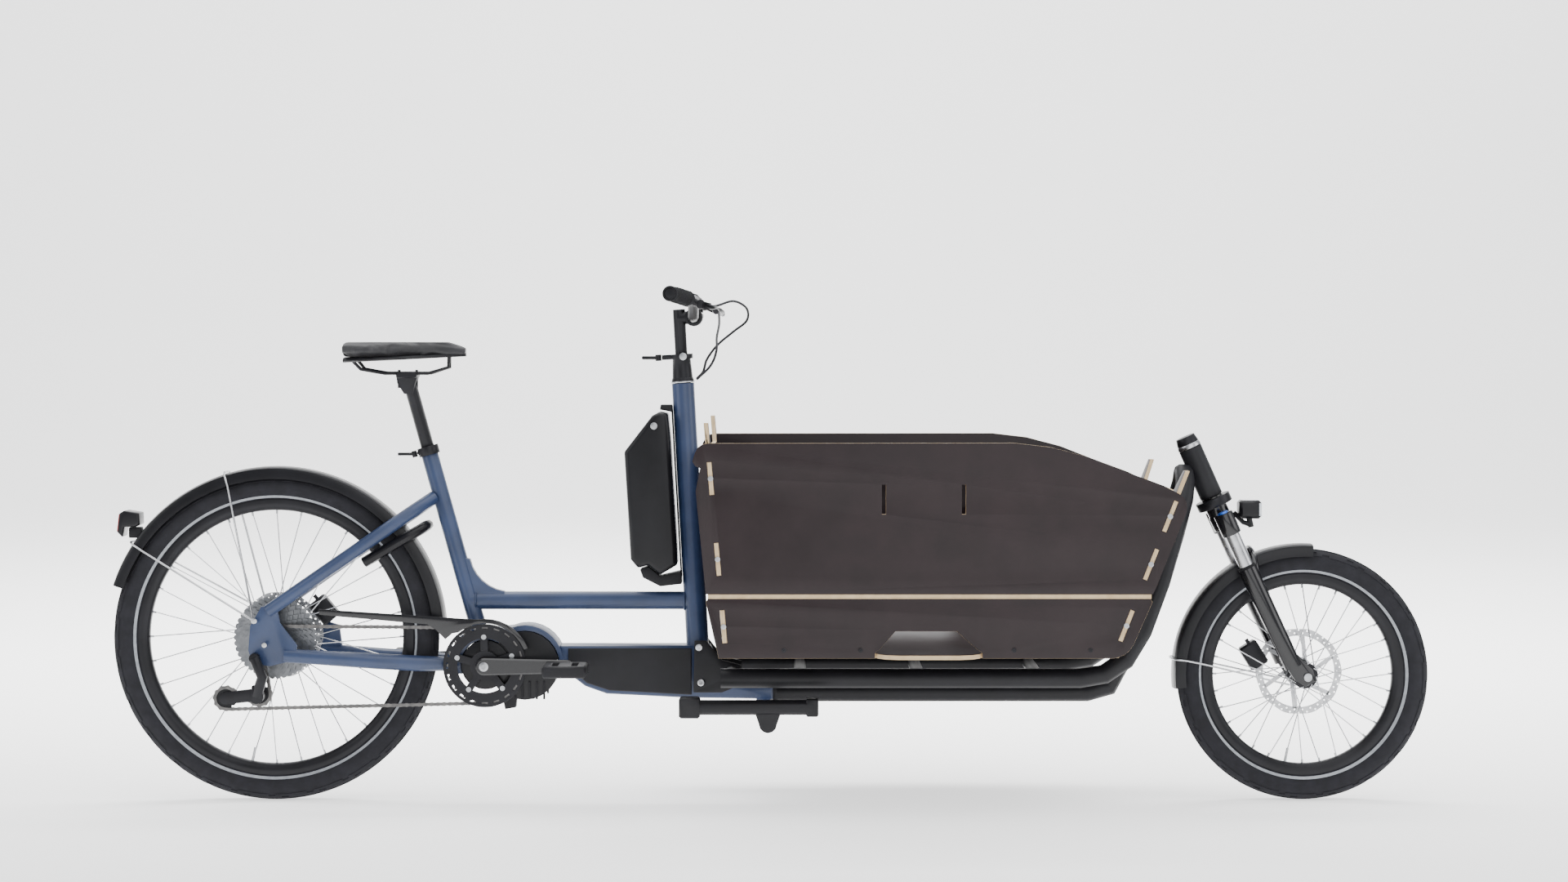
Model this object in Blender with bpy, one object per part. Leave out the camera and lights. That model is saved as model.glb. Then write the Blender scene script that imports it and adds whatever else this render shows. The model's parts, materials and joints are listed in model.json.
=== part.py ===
"""Front-loading cargo bicycle with a plywood box, modelled as its separate pieces.

Metres, +Z up, +X forwards, +Y to the rider's left. The origin is on the ground under
the middle of the bicycle.
"""

from math import acos, atan2, cos, degrees, hypot, pi, radians, sin, tan

import bmesh
import bpy
from mathutils import Matrix, Vector

# Driving dimensions -------------------------------------------------------------------
GAP = 0.0003  # between faces that meet
RUNNING_GAP = 0.0006  # round a shaft that turns or slides
ROUND = 36  # sides of a wheel
TUBE_SIDES = 10

WHEELBASE = 2.1105
REAR_TYRE_R = 0.3345
REAR_BEAD_R = 0.2795
FRONT_TYRE_R = 0.258
FRONT_BEAD_R = 0.203
REAR_AXLE = ((REAR_TYRE_R - FRONT_TYRE_R - WHEELBASE) / 2, REAR_TYRE_R)
FRONT_AXLE = (REAR_AXLE[0] + WHEELBASE, FRONT_TYRE_R)
REAR_X = REAR_AXLE[0]
FRONT_X = FRONT_AXLE[0]
TYRE_WIDTH = 0.054
RIM_WIDTH = 0.030
RIM_WALL = 0.0027
RIM_DEPTH = 0.019
RIM_FLANGE = 0.0035
SPOKES = 32
SPOKE_R = 0.0012
HUB_FLANGE_R = 0.027
HUB_FLANGE_THICKNESS = 0.004
HUB_SHELL_R = 0.016
AXLE_R = 0.008
ROTOR_R = 0.090
ROTOR_THICKNESS = 0.002
ROTOR_Y = 0.041

REAR_DROPOUT_SPACING = 0.149
FRONT_DROPOUT_SPACING = 0.110
DROPOUT_THICKNESS = 0.008

SEAT_TUBE_R = 0.0175
SEAT_TUBE_TOP = (-0.706, 0.722)
SEAT_TUBE_FOOT = (-0.600, 0.345)
SEATPOST_R = 0.0136
SEATPOST_HEAD_Z = 0.868
SEATPOST_INSERTION = 0.12
SEATPOST_TRAVEL = 0.09
MAIN_TUBE_R = 0.0185
MAIN_TUBE_Z = 0.409
COLUMN_R = 0.023
COLUMN_TOP = (-0.181, 0.856)
COLUMN_FOOT = (-0.1455, 0.225)
STAY_R = 0.0135
SEAT_STAY_TOP = (-0.692, 0.622)
SEAT_STAY_END = (REAR_X - 0.006, 0.393)
CHAINSTAY_R = 0.0155
KEEL_HALF_WIDTH = 0.035
KEEL_TOP_Z = 0.318
KEEL_BOTTOM_Z = 0.210
KEEL_FRONT_X = 0.004
COVER_THICKNESS = 0.006

CRANK_AXIS = (-0.583, 0.281)
CRANK_LENGTH = 0.170
CRANK_ARM_Y = 0.069
CRANK_ARM_THICKNESS = 0.014
SPINDLE_R = 0.012
MOTOR_NOSE_R = 0.050
MOTOR_BACK_R = 0.070
MOTOR_BACK = (-0.503, 0.279)
MOTOR_SIDES_Y = (-0.046, 0.050)
MOTOR_GAP = 0.0015
CRADLE_HALF_WIDTH = 0.040
CRADLE_DOME_R = 0.079
CHAIN_Y = -0.054
CHAIN_WIDTH = 0.0066
CHAIN_HEIGHT = 0.0084
CHAIN_PITCH = 0.0127
CHAINRING_TEETH = 38
SMALL_COG_TEETH = 13
LARGE_COG_TEETH = 42
COG_COUNT = 6
COG_PITCH_Y = 0.0062
GUARD_RING_R = 0.085
JOCKEY_R = 0.0225
UPPER_JOCKEY = (REAR_X - 0.026, 0.222)
LOWER_JOCKEY = (REAR_X - 0.095, 0.214)
PEDAL_SIZE = (0.088, 0.092, 0.024)
PEDAL_AXLE_R = 0.007

BOX_HALF_WIDTH = 0.300
PLY = 0.009
FLOOR_Z = 0.322
SPLIT_Z = 0.443
TAB_LENGTH = 0.030
TAB_SPACE = 0.004
REAR_BOARD_POINT = (-0.103, 0.516)
REAR_BOARD_LEAN = radians(5)
REAR_BOARD_TOP = 0.722
FRONT_BOARD_POINT = (0.745, 0.506)
FRONT_BOARD_LEAN = radians(21.8)
FRONT_BOARD_TOP = 0.640
BOARD_EAR = 0.060
MID_FRAME_WIDTH = 0.040
MID_STRIP_SPAN = (-0.122, 0.746)
STEP_SPAN = (0.205, 0.415)
STEP_LIP = 0.030

RAIL_R = 0.020
RAIL_Y = 0.150
RAIL_Z = 0.266
SPINE_R = 0.020
SPINE_Z = 0.2206
HEAD_ANGLE = radians(24)
CROWN_POINT = (FRONT_X - 0.1655, 0.576)
HEAD_TUBE_R = 0.024
HEAD_TUBE_SPAN = (0.052, 0.160)
STEERER_R = 0.0143
STANCHION_R = 0.0150
STANCHION_Y = 0.062
LOWER_R = 0.0195
FORK_SEAL = 0.105

STEM_R = 0.0125
SLEEVE_R = 0.0210
BAR_R = 0.0111
BAR_HALF_WIDTH = 0.335
GRIP_R = 0.0165
GRIP_LENGTH = 0.130
SLEEVE_TOP = 0.060
SLEEVE_BORE = STEM_R + RUNNING_GAP
SLEEVE_SHAFT_R = STEM_R + 0.0035
SLEEVE_DEPTH = 0.145
STEM_TOP = 0.152
STEM_INSERTION = 0.120
STEM_DROP = 0.055
STEM_LEVER_BEHIND = -0.0475
CAM_HALF_HEIGHT = 0.0065  # of both quick-release levers, along their hinges
BAR_CENTRE_AHEAD = 0.030

RAIL_SPACING = 0.044
SADDLE_RAIL_R = 0.0035
SADDLE_REAR_X = -0.880
SADDLE_NOSE_X = -0.622
SADDLE_TOP_Z = 0.941
SADDLE_HALF_WIDTH = 0.090
SADDLE_NOSE_HALF = 0.020

BATTERY_HALF_WIDTH = 0.045
BATTERY_BACK = COLUMN_R - 0.023  # how far a thicker column pushes the battery back
BATTERY_PIVOT = (-0.252 - BATTERY_BACK, 0.470)

STAND_PIVOT = (-0.005, 0.181)
STAND_FOOT = (-0.161, 0.2137)
STAND_LEG_Y = 0.200
STAND_LEG_R = 0.015
STAND_AXLE_R = 0.012

FENDER_GAP_REAR = 0.0170
FENDER_GAP_FRONT = 0.0110
FENDER_HALF_WIDTH = 0.033
FENDER_WALL = 0.0022
FENDER_SKIRT = 0.026
WIRE_R = 0.0022
HOSE_R = 0.0025
REAR_FENDER_SPAN = (6, 162)
LOCK_OPEN_END = (REAR_X + 0.185, 0.490)
LOCK_ARCH_CENTRE = (REAR_X + 0.271, 0.5405)
LOCK_ARCH_R = 0.047
LOCK_SECTION_R = 0.011

SIDES = {"right": -1, "left": 1}


# Materials ----------------------------------------------------------------------------
def material(name, colour, roughness, metallic=0.0):
    made = bpy.data.materials.new(name)
    made.use_nodes = True
    shader = made.node_tree.nodes["Principled BSDF"]
    shader.inputs["Base Color"].default_value = (*colour, 1)
    shader.inputs["Roughness"].default_value = roughness
    shader.inputs["Metallic"].default_value = metallic
    made.diffuse_color = (*colour, 1)
    return made


for obj in list(bpy.data.objects):
    bpy.data.objects.remove(obj)

BLUE = material("blue_powder_coat", (0.050, 0.088, 0.175), 0.45)
BLACK = material("black_powder_coat", (0.020, 0.020, 0.023), 0.45)
PLASTIC = material("black_plastic", (0.022, 0.022, 0.025), 0.55)
RUBBER = material("tyre_rubber", (0.030, 0.030, 0.035), 0.85)
GRIP_RUBBER = material("grip_rubber", (0.018, 0.018, 0.020), 0.90)
PLYWOOD = material("film_faced_plywood", (0.045, 0.027, 0.030), 0.35)
STEEL = material("bright_steel", (0.55, 0.55, 0.57), 0.30, 1.0)
CHAIN_STEEL = material("chain_steel", (0.16, 0.16, 0.17), 0.40, 1.0)
ALLOY = material("black_anodised_alloy", (0.030, 0.030, 0.034), 0.35, 0.6)
LENS = material("red_lens", (0.45, 0.02, 0.02), 0.15)
PADDING = material("saddle_cover", (0.020, 0.020, 0.022), 0.60)


# Shapes, each a mesh in the bicycle's own coordinates ----------------------------------
def mesh_from(bm):
    """The bmesh as a mesh with doubles merged and its faces pointing outwards."""
    bmesh.ops.remove_doubles(bm, verts=bm.verts, dist=1e-6)
    bmesh.ops.recalc_face_normals(bm, faces=bm.faces)
    mesh = bpy.data.meshes.new("shape")
    bm.to_mesh(mesh)
    bm.free()
    return mesh


def block(low, high, bevel=0.0):
    bm = bmesh.new()
    size = [b - a for a, b in zip(low, high)]
    centre = [(a + b) / 2 for a, b in zip(low, high)]
    place = Matrix.Translation(centre) @ Matrix.Diagonal((*size, 1))
    bmesh.ops.create_cube(bm, size=1, matrix=place)
    if bevel:
        bmesh.ops.bevel(bm, geom=bm.edges[:], offset=bevel, segments=1, affect="EDGES")
    return mesh_from(bm)


def cylinder(start, end, radius, sides=TUBE_SIDES, end_radius=None):
    start, end = Vector(start), Vector(end)
    along = end - start
    turn = along.to_track_quat("Z", "Y").to_matrix().to_4x4()
    bm = bmesh.new()
    bmesh.ops.create_cone(
        bm,
        cap_ends=True,
        segments=sides,
        radius1=radius,
        radius2=radius if end_radius is None else end_radius,
        depth=along.length,
        matrix=Matrix.Translation((start + end) / 2) @ turn,
    )
    return mesh_from(bm)


def plate(outline, y_low, y_high, bevel=0.0):
    """A flat piece: an outline of (x, z) points, from one y to the other."""
    bm = bmesh.new()
    face = bm.faces.new([bm.verts.new((x, y_low, z)) for x, z in outline])
    made = bmesh.ops.extrude_face_region(bm, geom=[face])
    risen = [v for v in made["geom"] if isinstance(v, bmesh.types.BMVert)]
    bmesh.ops.translate(bm, verts=risen, vec=(0, y_high - y_low, 0))
    if bevel:
        rims = [e for e in bm.edges if abs(e.verts[0].co.y - e.verts[1].co.y) < 1e-9]
        bmesh.ops.bevel(bm, geom=rims, offset=bevel, segments=1, affect="EDGES")
    return mesh_from(bm)


def turned(profile, centre, sides=ROUND, axis=(0, 1, 0)):
    """A closed (radius, offset) outline turned full circle round an axis."""
    axis = Vector(axis).normalized()
    out = axis.orthogonal() if abs(axis.y) < 0.9 else Vector((1, 0, 0))
    out = (out - axis * out.dot(axis)).normalized()
    bm = bmesh.new()
    centre = Vector(centre)
    ring = [bm.verts.new(centre + out * r + axis * o) for r, o in profile]
    edges = [bm.edges.new((ring[i - 1], ring[i])) for i in range(len(ring))]
    bmesh.ops.spin(bm, geom=edges + ring, cent=centre, axis=axis, angle=2 * pi, steps=sides)
    return mesh_from(bm)


def arch(profile, centre, start_deg, end_deg, steps):
    """A closed (radius, y) outline turned part of the way round a wheel's axle at (x, z)."""
    bm = bmesh.new()
    first = radians(start_deg)
    hub = Vector((centre[0], 0, centre[1]))
    ring = [bm.verts.new(hub + Vector((r * cos(first), y, r * sin(first)))) for r, y in profile]
    cap = bm.faces.new(ring)
    edges = list(cap.edges)
    turn = radians(end_deg - start_deg)
    made = bmesh.ops.spin(
        bm, geom=ring + edges, cent=hub, axis=(0, -1, 0), angle=turn, steps=steps
    )
    last = [g for g in made["geom_last"] if isinstance(g, bmesh.types.BMEdge)]
    bmesh.ops.contextual_create(bm, geom=last)
    return mesh_from(bm)


def sweep(points, radius, resolution=3, radii=None):
    """A round bar along points. resolution 3 gives 10 sides, and 2 gives 8."""
    curve = bpy.data.curves.new("path", "CURVE")
    curve.dimensions = "3D"
    curve.bevel_depth = radius
    curve.bevel_resolution = resolution
    curve.use_fill_caps = True
    spline = curve.splines.new("POLY")
    spline.points.add(len(points) - 1)
    for i, point in enumerate(points):
        spline.points[i].co = (*point, 1)
        spline.points[i].radius = radii[i] if radii else 1.0
    carrier = bpy.data.objects.new("path", curve)
    bpy.context.scene.collection.objects.link(carrier)
    bpy.context.view_layer.update()
    graph = bpy.context.evaluated_depsgraph_get()
    bm = bmesh.new()
    swept = bpy.data.meshes.new_from_object(carrier.evaluated_get(graph))
    bm.from_mesh(swept)
    bpy.data.objects.remove(carrier)
    return mesh_from(bm)


def smooth_path(points, per_span=4):
    """Points on a Catmull-Rom curve through the given ones."""
    ends = [Vector(p) for p in points]
    padded = [ends[0] * 2 - ends[1], *ends, ends[-1] * 2 - ends[-2]]
    path = []
    for a, b, c, d in zip(padded, padded[1:], padded[2:], padded[3:]):
        for step in range(per_span):
            t = step / per_span
            path.append(
                0.5
                * (
                    2 * b
                    + (c - a) * t
                    + (2 * a - 5 * b + 4 * c - d) * t**2
                    + (3 * b - a - 3 * c + d) * t**3
                )
            )
    return path + [ends[-1]]


def joined(meshes):
    bm = bmesh.new()
    for mesh in meshes:
        bm.from_mesh(mesh)
    mesh = bpy.data.meshes.new("shape")
    bm.to_mesh(mesh)
    bm.free()
    return mesh


def boolean(base, others, operation):
    carrier = bpy.data.objects.new("base", base)
    tool = bpy.data.objects.new("tool", joined(others))
    for obj in (carrier, tool):
        bpy.context.scene.collection.objects.link(obj)
    modifier = carrier.modifiers.new(operation.lower(), "BOOLEAN")
    modifier.operation = operation
    modifier.solver = "EXACT"
    modifier.use_self = len(others) > 1
    modifier.object = tool
    bpy.context.view_layer.update()
    graph = bpy.context.evaluated_depsgraph_get()
    result = bpy.data.meshes.new_from_object(carrier.evaluated_get(graph))
    bpy.data.objects.remove(carrier)
    bpy.data.objects.remove(tool)
    return result


def union(*meshes):
    return boolean(meshes[0], meshes[1:], "UNION")


def cut(mesh, *cutters):
    return boolean(mesh, cutters, "DIFFERENCE")


def node(name, mesh, finish, origin=(0, 0, 0), sharp_deg=35):
    """The finished object, with its origin on the axis that it turns about."""
    mesh.name = name
    mesh.materials.clear()
    mesh.materials.append(finish)
    mesh.transform(Matrix.Translation(-Vector(origin)))
    mesh.shade_smooth()
    mesh.set_sharp_from_angle(angle=radians(sharp_deg))
    obj = bpy.data.objects.new(name, mesh)
    obj.location = origin
    bpy.context.scene.collection.objects.link(obj)
    return obj


def arc_points(centre, radius, start_deg, end_deg, steps):
    """Points of a circle in the side view, degrees counted from forwards up to above."""
    turn = (end_deg - start_deg) / steps
    angles = [radians(start_deg + turn * i) for i in range(steps + 1)]
    return [(centre[0] + radius * cos(a), centre[1] + radius * sin(a)) for a in angles]


def between(start, end, share):
    return tuple(a + (b - a) * share for a, b in zip(start, end))


def side(point, y):
    """The point of a side view at the given y."""
    return (point[0], y, point[1])


# Rear frame: one welded aluminium piece --------------------------------------------------
def column_point(z):
    """The centre of the steering column at a height, in the side view."""
    share = (z - COLUMN_FOOT[1]) / (COLUMN_TOP[1] - COLUMN_FOOT[1])
    return between(COLUMN_FOOT, COLUMN_TOP, share)


COLUMN_AXIS = (Vector(side(COLUMN_TOP, 0)) - Vector(side(COLUMN_FOOT, 0))).normalized()
SEAT_AXIS = (Vector(side(SEAT_TUBE_TOP, 0)) - Vector(side(SEAT_TUBE_FOOT, 0))).normalized()


def seat_gusset():
    """The rounded web in the corner between the seat tube and the main tube."""
    curve = arc_points((-0.536, 0.512), 0.085, 192, 262, 6)
    return plate([(-0.640, 0.500), *curve, (-0.545, 0.400), (-0.612, 0.400)], -0.011, 0.011)


def rear_triangle(y_sign):
    end_y = REAR_DROPOUT_SPACING / 2 + DROPOUT_THICKNESS / 2
    seat_stay = sweep(
        [
            side(SEAT_STAY_TOP, y_sign * 0.012),
            side(between(SEAT_STAY_TOP, SEAT_STAY_END, 0.14), y_sign * 0.050),
            side(between(SEAT_STAY_TOP, SEAT_STAY_END, 0.45), y_sign * 0.062),
            side(SEAT_STAY_END, y_sign * end_y),
        ],
        STAY_R,
    )
    chainstay = sweep(
        [
            (-0.640, y_sign * 0.026, 0.281),
            (-0.668, y_sign * 0.032, 0.282),
            (-0.715, y_sign * 0.046, 0.284),
            (-0.805, y_sign * 0.050, 0.289),
            (REAR_X + 0.027, y_sign * end_y, 0.304),
        ],
        CHAINSTAY_R,
        radii=[1.0, 0.95, 1.05, 1.05, 0.9],
    )
    x, z = REAR_AXLE
    outline = [
        (x - 0.040, z + 0.030), (x - 0.018, z + 0.068), (x + 0.012, z + 0.072),
        (x + 0.020, z + 0.035), (x + 0.055, z - 0.010), (x + 0.050, z - 0.040),
        (x, z - 0.052), (x - 0.036, z - 0.046), (x - 0.044, z - 0.020),
    ]
    inner = y_sign * REAR_DROPOUT_SPACING / 2
    outer = inner + y_sign * DROPOUT_THICKNESS
    return [seat_stay, chainstay, plate(outline, min(inner, outer), max(inner, outer))]


def motor_shape(y_low, y_high, extra, sides=24):
    nose = cylinder(side(CRANK_AXIS, y_low), side(CRANK_AXIS, y_high), MOTOR_NOSE_R + extra, sides)
    start, stop = side(MOTOR_BACK, y_low + 0.003), side(MOTOR_BACK, y_high - 0.003)
    return [nose, cylinder(start, stop, MOTOR_BACK_R + extra, sides)]


def motor_cradle():
    dome = arc_points((MOTOR_BACK[0], MOTOR_BACK[1] + 0.003), CRADLE_DOME_R, 112, 12, 9)
    outline = [
        (-0.6615, 0.262), (-0.6615, 0.300), (-0.640, 0.335), (-0.612, 0.352),
        (-0.560, 0.352), *dome, (-0.418, 0.262),
    ]
    solid = plate(outline, -CRADLE_HALF_WIDTH, CRADLE_HALF_WIDTH)
    return cut(solid, *motor_shape(-0.1, 0.1, MOTOR_GAP))


def keel():
    outline = [
        (-0.432, KEEL_TOP_Z), (-0.125, KEEL_TOP_Z), (-0.092, 0.245), (KEEL_FRONT_X, 0.245),
        (KEEL_FRONT_X, KEEL_BOTTOM_Z), (-0.178, KEEL_BOTTOM_Z + 0.0025), (-0.336, 0.2205),
        (-0.380, 0.236), (-0.410, 0.259), (-0.4325, 0.266),
    ]
    return plate(outline, -KEEL_HALF_WIDTH, KEEL_HALF_WIDTH, bevel=0.003)


def stand_ear(y_sign):
    """One ear of the stand's bracket, welded under the keel's front end."""
    x, z = STAND_PIVOT
    top = KEEL_BOTTOM_Z + 0.004
    curve = arc_points(STAND_PIVOT, 0.0185, 190, 350, 6)
    outline = [(x - 0.026, top), *curve, (x + 0.004, z + 0.015), (x + 0.004, top)]
    return plate(outline, *sorted((y_sign * 0.018, y_sign * 0.028)))


def rear_frame():
    seat_tube = cylinder(side(SEAT_TUBE_FOOT, 0), side(SEAT_TUBE_TOP, 0), SEAT_TUBE_R, 16)
    main_tube = cylinder((-0.622, 0, MAIN_TUBE_Z), (-0.160, 0, MAIN_TUBE_Z), MAIN_TUBE_R, 16)
    column = cylinder(side(COLUMN_FOOT, 0), side(COLUMN_TOP, 0), COLUMN_R, 16)
    caliper_post = plate(
        [(REAR_X + x, z) for x, z in
         ((0.069, 0.297), (0.127, 0.292), (0.119, 0.352), (0.087, 0.362))], 0.0595, 0.0690
    )
    solid = union(
        keel(), motor_cradle(), main_tube, seat_tube, column, seat_gusset(),
        *rear_triangle(-1), *rear_triangle(1), caliper_post, stand_ear(-1), stand_ear(1),
    )
    post_bore = cylinder(
        Vector(side(SEAT_TUBE_TOP, 0)) - SEAT_AXIS * (SEATPOST_INSERTION + SEATPOST_TRAVEL + 0.005),
        Vector(side(SEAT_TUBE_TOP, 0)) + SEAT_AXIS * 0.02,
        SEATPOST_R + RUNNING_GAP,
        16,
    )
    stem_bore = cylinder(
        Vector(side(COLUMN_TOP, 0)) - COLUMN_AXIS * (STEM_INSERTION + STEM_DROP + 0.005),
        Vector(side(COLUMN_TOP, 0)) + COLUMN_AXIS * 0.02,
        SLEEVE_SHAFT_R + RUNNING_GAP,
        16,
    )
    x, z = STAND_PIVOT
    stand_bore = cylinder((x, -0.05, z), (x, 0.05, z), STAND_AXLE_R + RUNNING_GAP, 16)
    return cut(solid, post_bore, stem_bore, stand_bore)


def keel_cover(y_sign):
    inner = y_sign * (KEEL_HALF_WIDTH + GAP)
    y = sorted((inner, inner + y_sign * COVER_THICKNESS))
    outline = [
        (-0.4145, 0.314), (-0.162, 0.314), (-0.162, 0.219), (-0.330, 0.228),
        (-0.376, 0.243), (-0.398, 0.262), (-0.4145, 0.270),
    ]
    return plate(outline, *y, bevel=0.002)


node("rear_frame", rear_frame(), BLUE)
node("keel_cover_right", keel_cover(-1), PLASTIC)
node("keel_cover_left", keel_cover(1), PLASTIC)


# Front frame: two rails, the spine and the head tube -------------------------------------
STEER_AXIS = Vector((-sin(HEAD_ANGLE), 0, cos(HEAD_ANGLE)))
STEER_AHEAD = Vector((cos(HEAD_ANGLE), 0, sin(HEAD_ANGLE)))
CROWN = Vector(side(CROWN_POINT, 0))


def on_steerer(along, ahead=0.0, y=0.0):
    """A point given along the steering axis from the crown, ahead of it, and to the side."""
    return CROWN + STEER_AXIS * along + STEER_AHEAD * ahead + Vector((0, y, 0))


# Where each rail climbs to the head tube: distance behind the crown, then y and z.
RAIL_RISE = [
    (0.140, 0.106, 0.455), (0.106, 0.074, 0.553), (0.085, 0.048, 0.620), (0.078, 0.026, 0.655),
    (0.078, 0.006, 0.675),
]


def rail(y_sign):
    route = [
        (-0.100, RAIL_Y, RAIL_Z), (0.620, RAIL_Y, RAIL_Z), (0.670, 0.149, 0.274),
        (0.712, 0.145, 0.302), (0.748, 0.132, 0.358),
    ]
    route += [(CROWN.x - behind, y, z) for behind, y, z in RAIL_RISE]
    return sweep([(x, y * y_sign, z) for x, y, z in route], RAIL_R)


def cross_tube(x, z, half_length, radius):
    return cylinder((x, -half_length, z), (x, half_length, z), radius)


def cheek(y_sign):
    """The plate that bolts the front frame to the foot of the column."""
    y = sorted((y_sign * (KEEL_HALF_WIDTH + GAP), y_sign * 0.043))
    outline = [
        (-0.158, 0.224), (-0.156, 0.330), (-0.132, 0.330), (-0.100, 0.290), (-0.060, 0.280),
        (-0.060, 0.240), (-0.100, 0.224),
    ]
    return plate(outline, *y, bevel=0.002)


def front_frame():
    start = KEEL_FRONT_X + GAP
    spine = sweep(
        [(start, 0, SPINE_Z), (0.650, 0, SPINE_Z), (0.695, 0, 0.232), (0.730, 0, 0.300)],
        SPINE_R,
    )
    flange = cylinder((start, 0, SPINE_Z + 0.006), (start + 0.008, 0, SPINE_Z + 0.006), 0.033, 16)
    rear_cross = [
        cylinder((-0.080, y * 0.040, RAIL_Z), (-0.080, y * RAIL_Y, RAIL_Z), 0.014) for y in (-1, 1)
    ]
    posts = [
        cylinder((x, 0, SPINE_Z), (x, 0, RAIL_Z + 0.004), 0.011) for x in (0.060, 0.300, 0.540)
    ]
    head = cylinder(
        on_steerer(HEAD_TUBE_SPAN[0]), on_steerer(HEAD_TUBE_SPAN[1]), HEAD_TUBE_R, 20
    )
    solid = union(
        spine, rail(-1), rail(1), flange, cheek(-1), cheek(1), *rear_cross, *posts, head,
        cross_tube(0.060, RAIL_Z, RAIL_Y, 0.013), cross_tube(0.300, RAIL_Z, RAIL_Y, 0.013),
        cross_tube(0.540, RAIL_Z, RAIL_Y, 0.013), cross_tube(0.7265, 0.322, 0.140, 0.015),
    )
    bore = cylinder(on_steerer(0.02), on_steerer(0.20), STEERER_R + RUNNING_GAP, 16)
    return cut(solid, bore)


node("front_frame", front_frame(), BLACK)


# Cargo box: boards whose tabs pass through slots ------------------------------------------
def rear_board_x(z):
    return REAR_BOARD_POINT[0] - (z - REAR_BOARD_POINT[1]) * tan(REAR_BOARD_LEAN)


def front_board_x(z):
    return FRONT_BOARD_POINT[0] + (z - FRONT_BOARD_POINT[1]) * tan(FRONT_BOARD_LEAN)


REAR_TABS_Z = (0.384, 0.516, 0.674)
FRONT_TABS_Z = (0.386, 0.506, 0.600)
BOARD_INNER_Y = BOX_HALF_WIDTH - PLY - GAP
FLOOR_TOP_Z = FLOOR_Z + PLY


def tab_prisms(board_x, lean, heights, half_depth, y_low, y_high, extra=0.0):
    """The pairs of tabs, or with extra the slots that they pass through."""
    prisms = []
    for z in heights:
        for end in (-1, 1):
            middle = z + end * (TAB_SPACE + TAB_LENGTH) / 2 * cos(lean)
            centre = (board_x(middle), (y_low + y_high) / 2, middle)
            bm = bmesh.new()
            size = (2 * (half_depth + extra), y_high - y_low, TAB_LENGTH + 2 * extra)
            place = (
                Matrix.Translation(centre)
                @ Matrix.Rotation(lean, 4, "Y")
                @ Matrix.Diagonal((*size, 1))
            )
            bmesh.ops.create_cube(bm, size=1, matrix=place)
            prisms.append(mesh_from(bm))
    return prisms


def end_board(board_x, lean, heights, top_z, ear):
    """The front or rear board: a leaning sheet with raised ears and tabs at both sides."""
    half = PLY / 2
    low_z = FLOOR_TOP_Z + GAP
    y = BOARD_INNER_Y
    outline = [
        (-y, low_z), (y, low_z), (y, top_z + ear), (y - 0.030, top_z + ear),
        (y - 0.055, top_z + 0.006), (-y + 0.055, top_z + 0.006), (-y + 0.030, top_z + ear),
        (-y, top_z + ear),
    ]
    bm = bmesh.new()
    face = bm.faces.new([bm.verts.new((board_x(z) - half, y, z)) for y, z in outline])
    made = bmesh.ops.extrude_face_region(bm, geom=[face])
    risen = [v for v in made["geom"] if isinstance(v, bmesh.types.BMVert)]
    bmesh.ops.translate(bm, verts=risen, vec=(PLY, 0, 0))
    board = mesh_from(bm)
    tabs = []
    for inner, outer in ((-BOX_HALF_WIDTH, -y + 0.004), (y - 0.004, BOX_HALF_WIDTH)):
        tabs += tab_prisms(board_x, lean, heights, half * cos(lean), inner, outer)
    return union(board, *tabs)


def slot_cutters(y_sign):
    y = sorted((y_sign * (BOX_HALF_WIDTH - 0.03), y_sign * (BOX_HALF_WIDTH + 0.03)))
    rear = tab_prisms(
        rear_board_x, -REAR_BOARD_LEAN, REAR_TABS_Z, PLY / 2 * cos(REAR_BOARD_LEAN), *y, GAP
    )
    front = tab_prisms(
        front_board_x, FRONT_BOARD_LEAN, FRONT_TABS_Z, PLY / 2 * cos(FRONT_BOARD_LEAN), *y, GAP
    )
    return rear + front


def side_upper(y_sign):
    bottom = SPLIT_Z + PLY / 2 + GAP
    front_corner = arc_points((0.786, 0.6175), 0.030, -20, 62, 4)
    top_corner = arc_points((-0.122, 0.716), 0.027, 85, 165, 3)
    outline = [
        (-0.126, bottom), (0.749, bottom), (0.755, 0.460), *front_corner, (0.770, 0.660),
        (0.697, 0.687), (0.623, 0.716), (0.550, 0.735), (0.477, 0.7435), *top_corner,
        (-0.1525, 0.7070), (-0.147, 0.6985), (-0.137, 0.694), (-0.146, 0.649),
    ]
    y = sorted((y_sign * (BOX_HALF_WIDTH - PLY), y_sign * BOX_HALF_WIDTH))
    through = (y[0] - 0.01, y[1] + 0.01)
    slots = [
        plate([(x - 0.004, 0.604), (x + 0.004, 0.604), (x + 0.004, 0.662), (x - 0.004, 0.662)],
              *through)
        for x in (0.2225, 0.3790)
    ]
    return cut(plate(outline, *y), *slot_cutters(y_sign), *slots)


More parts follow.
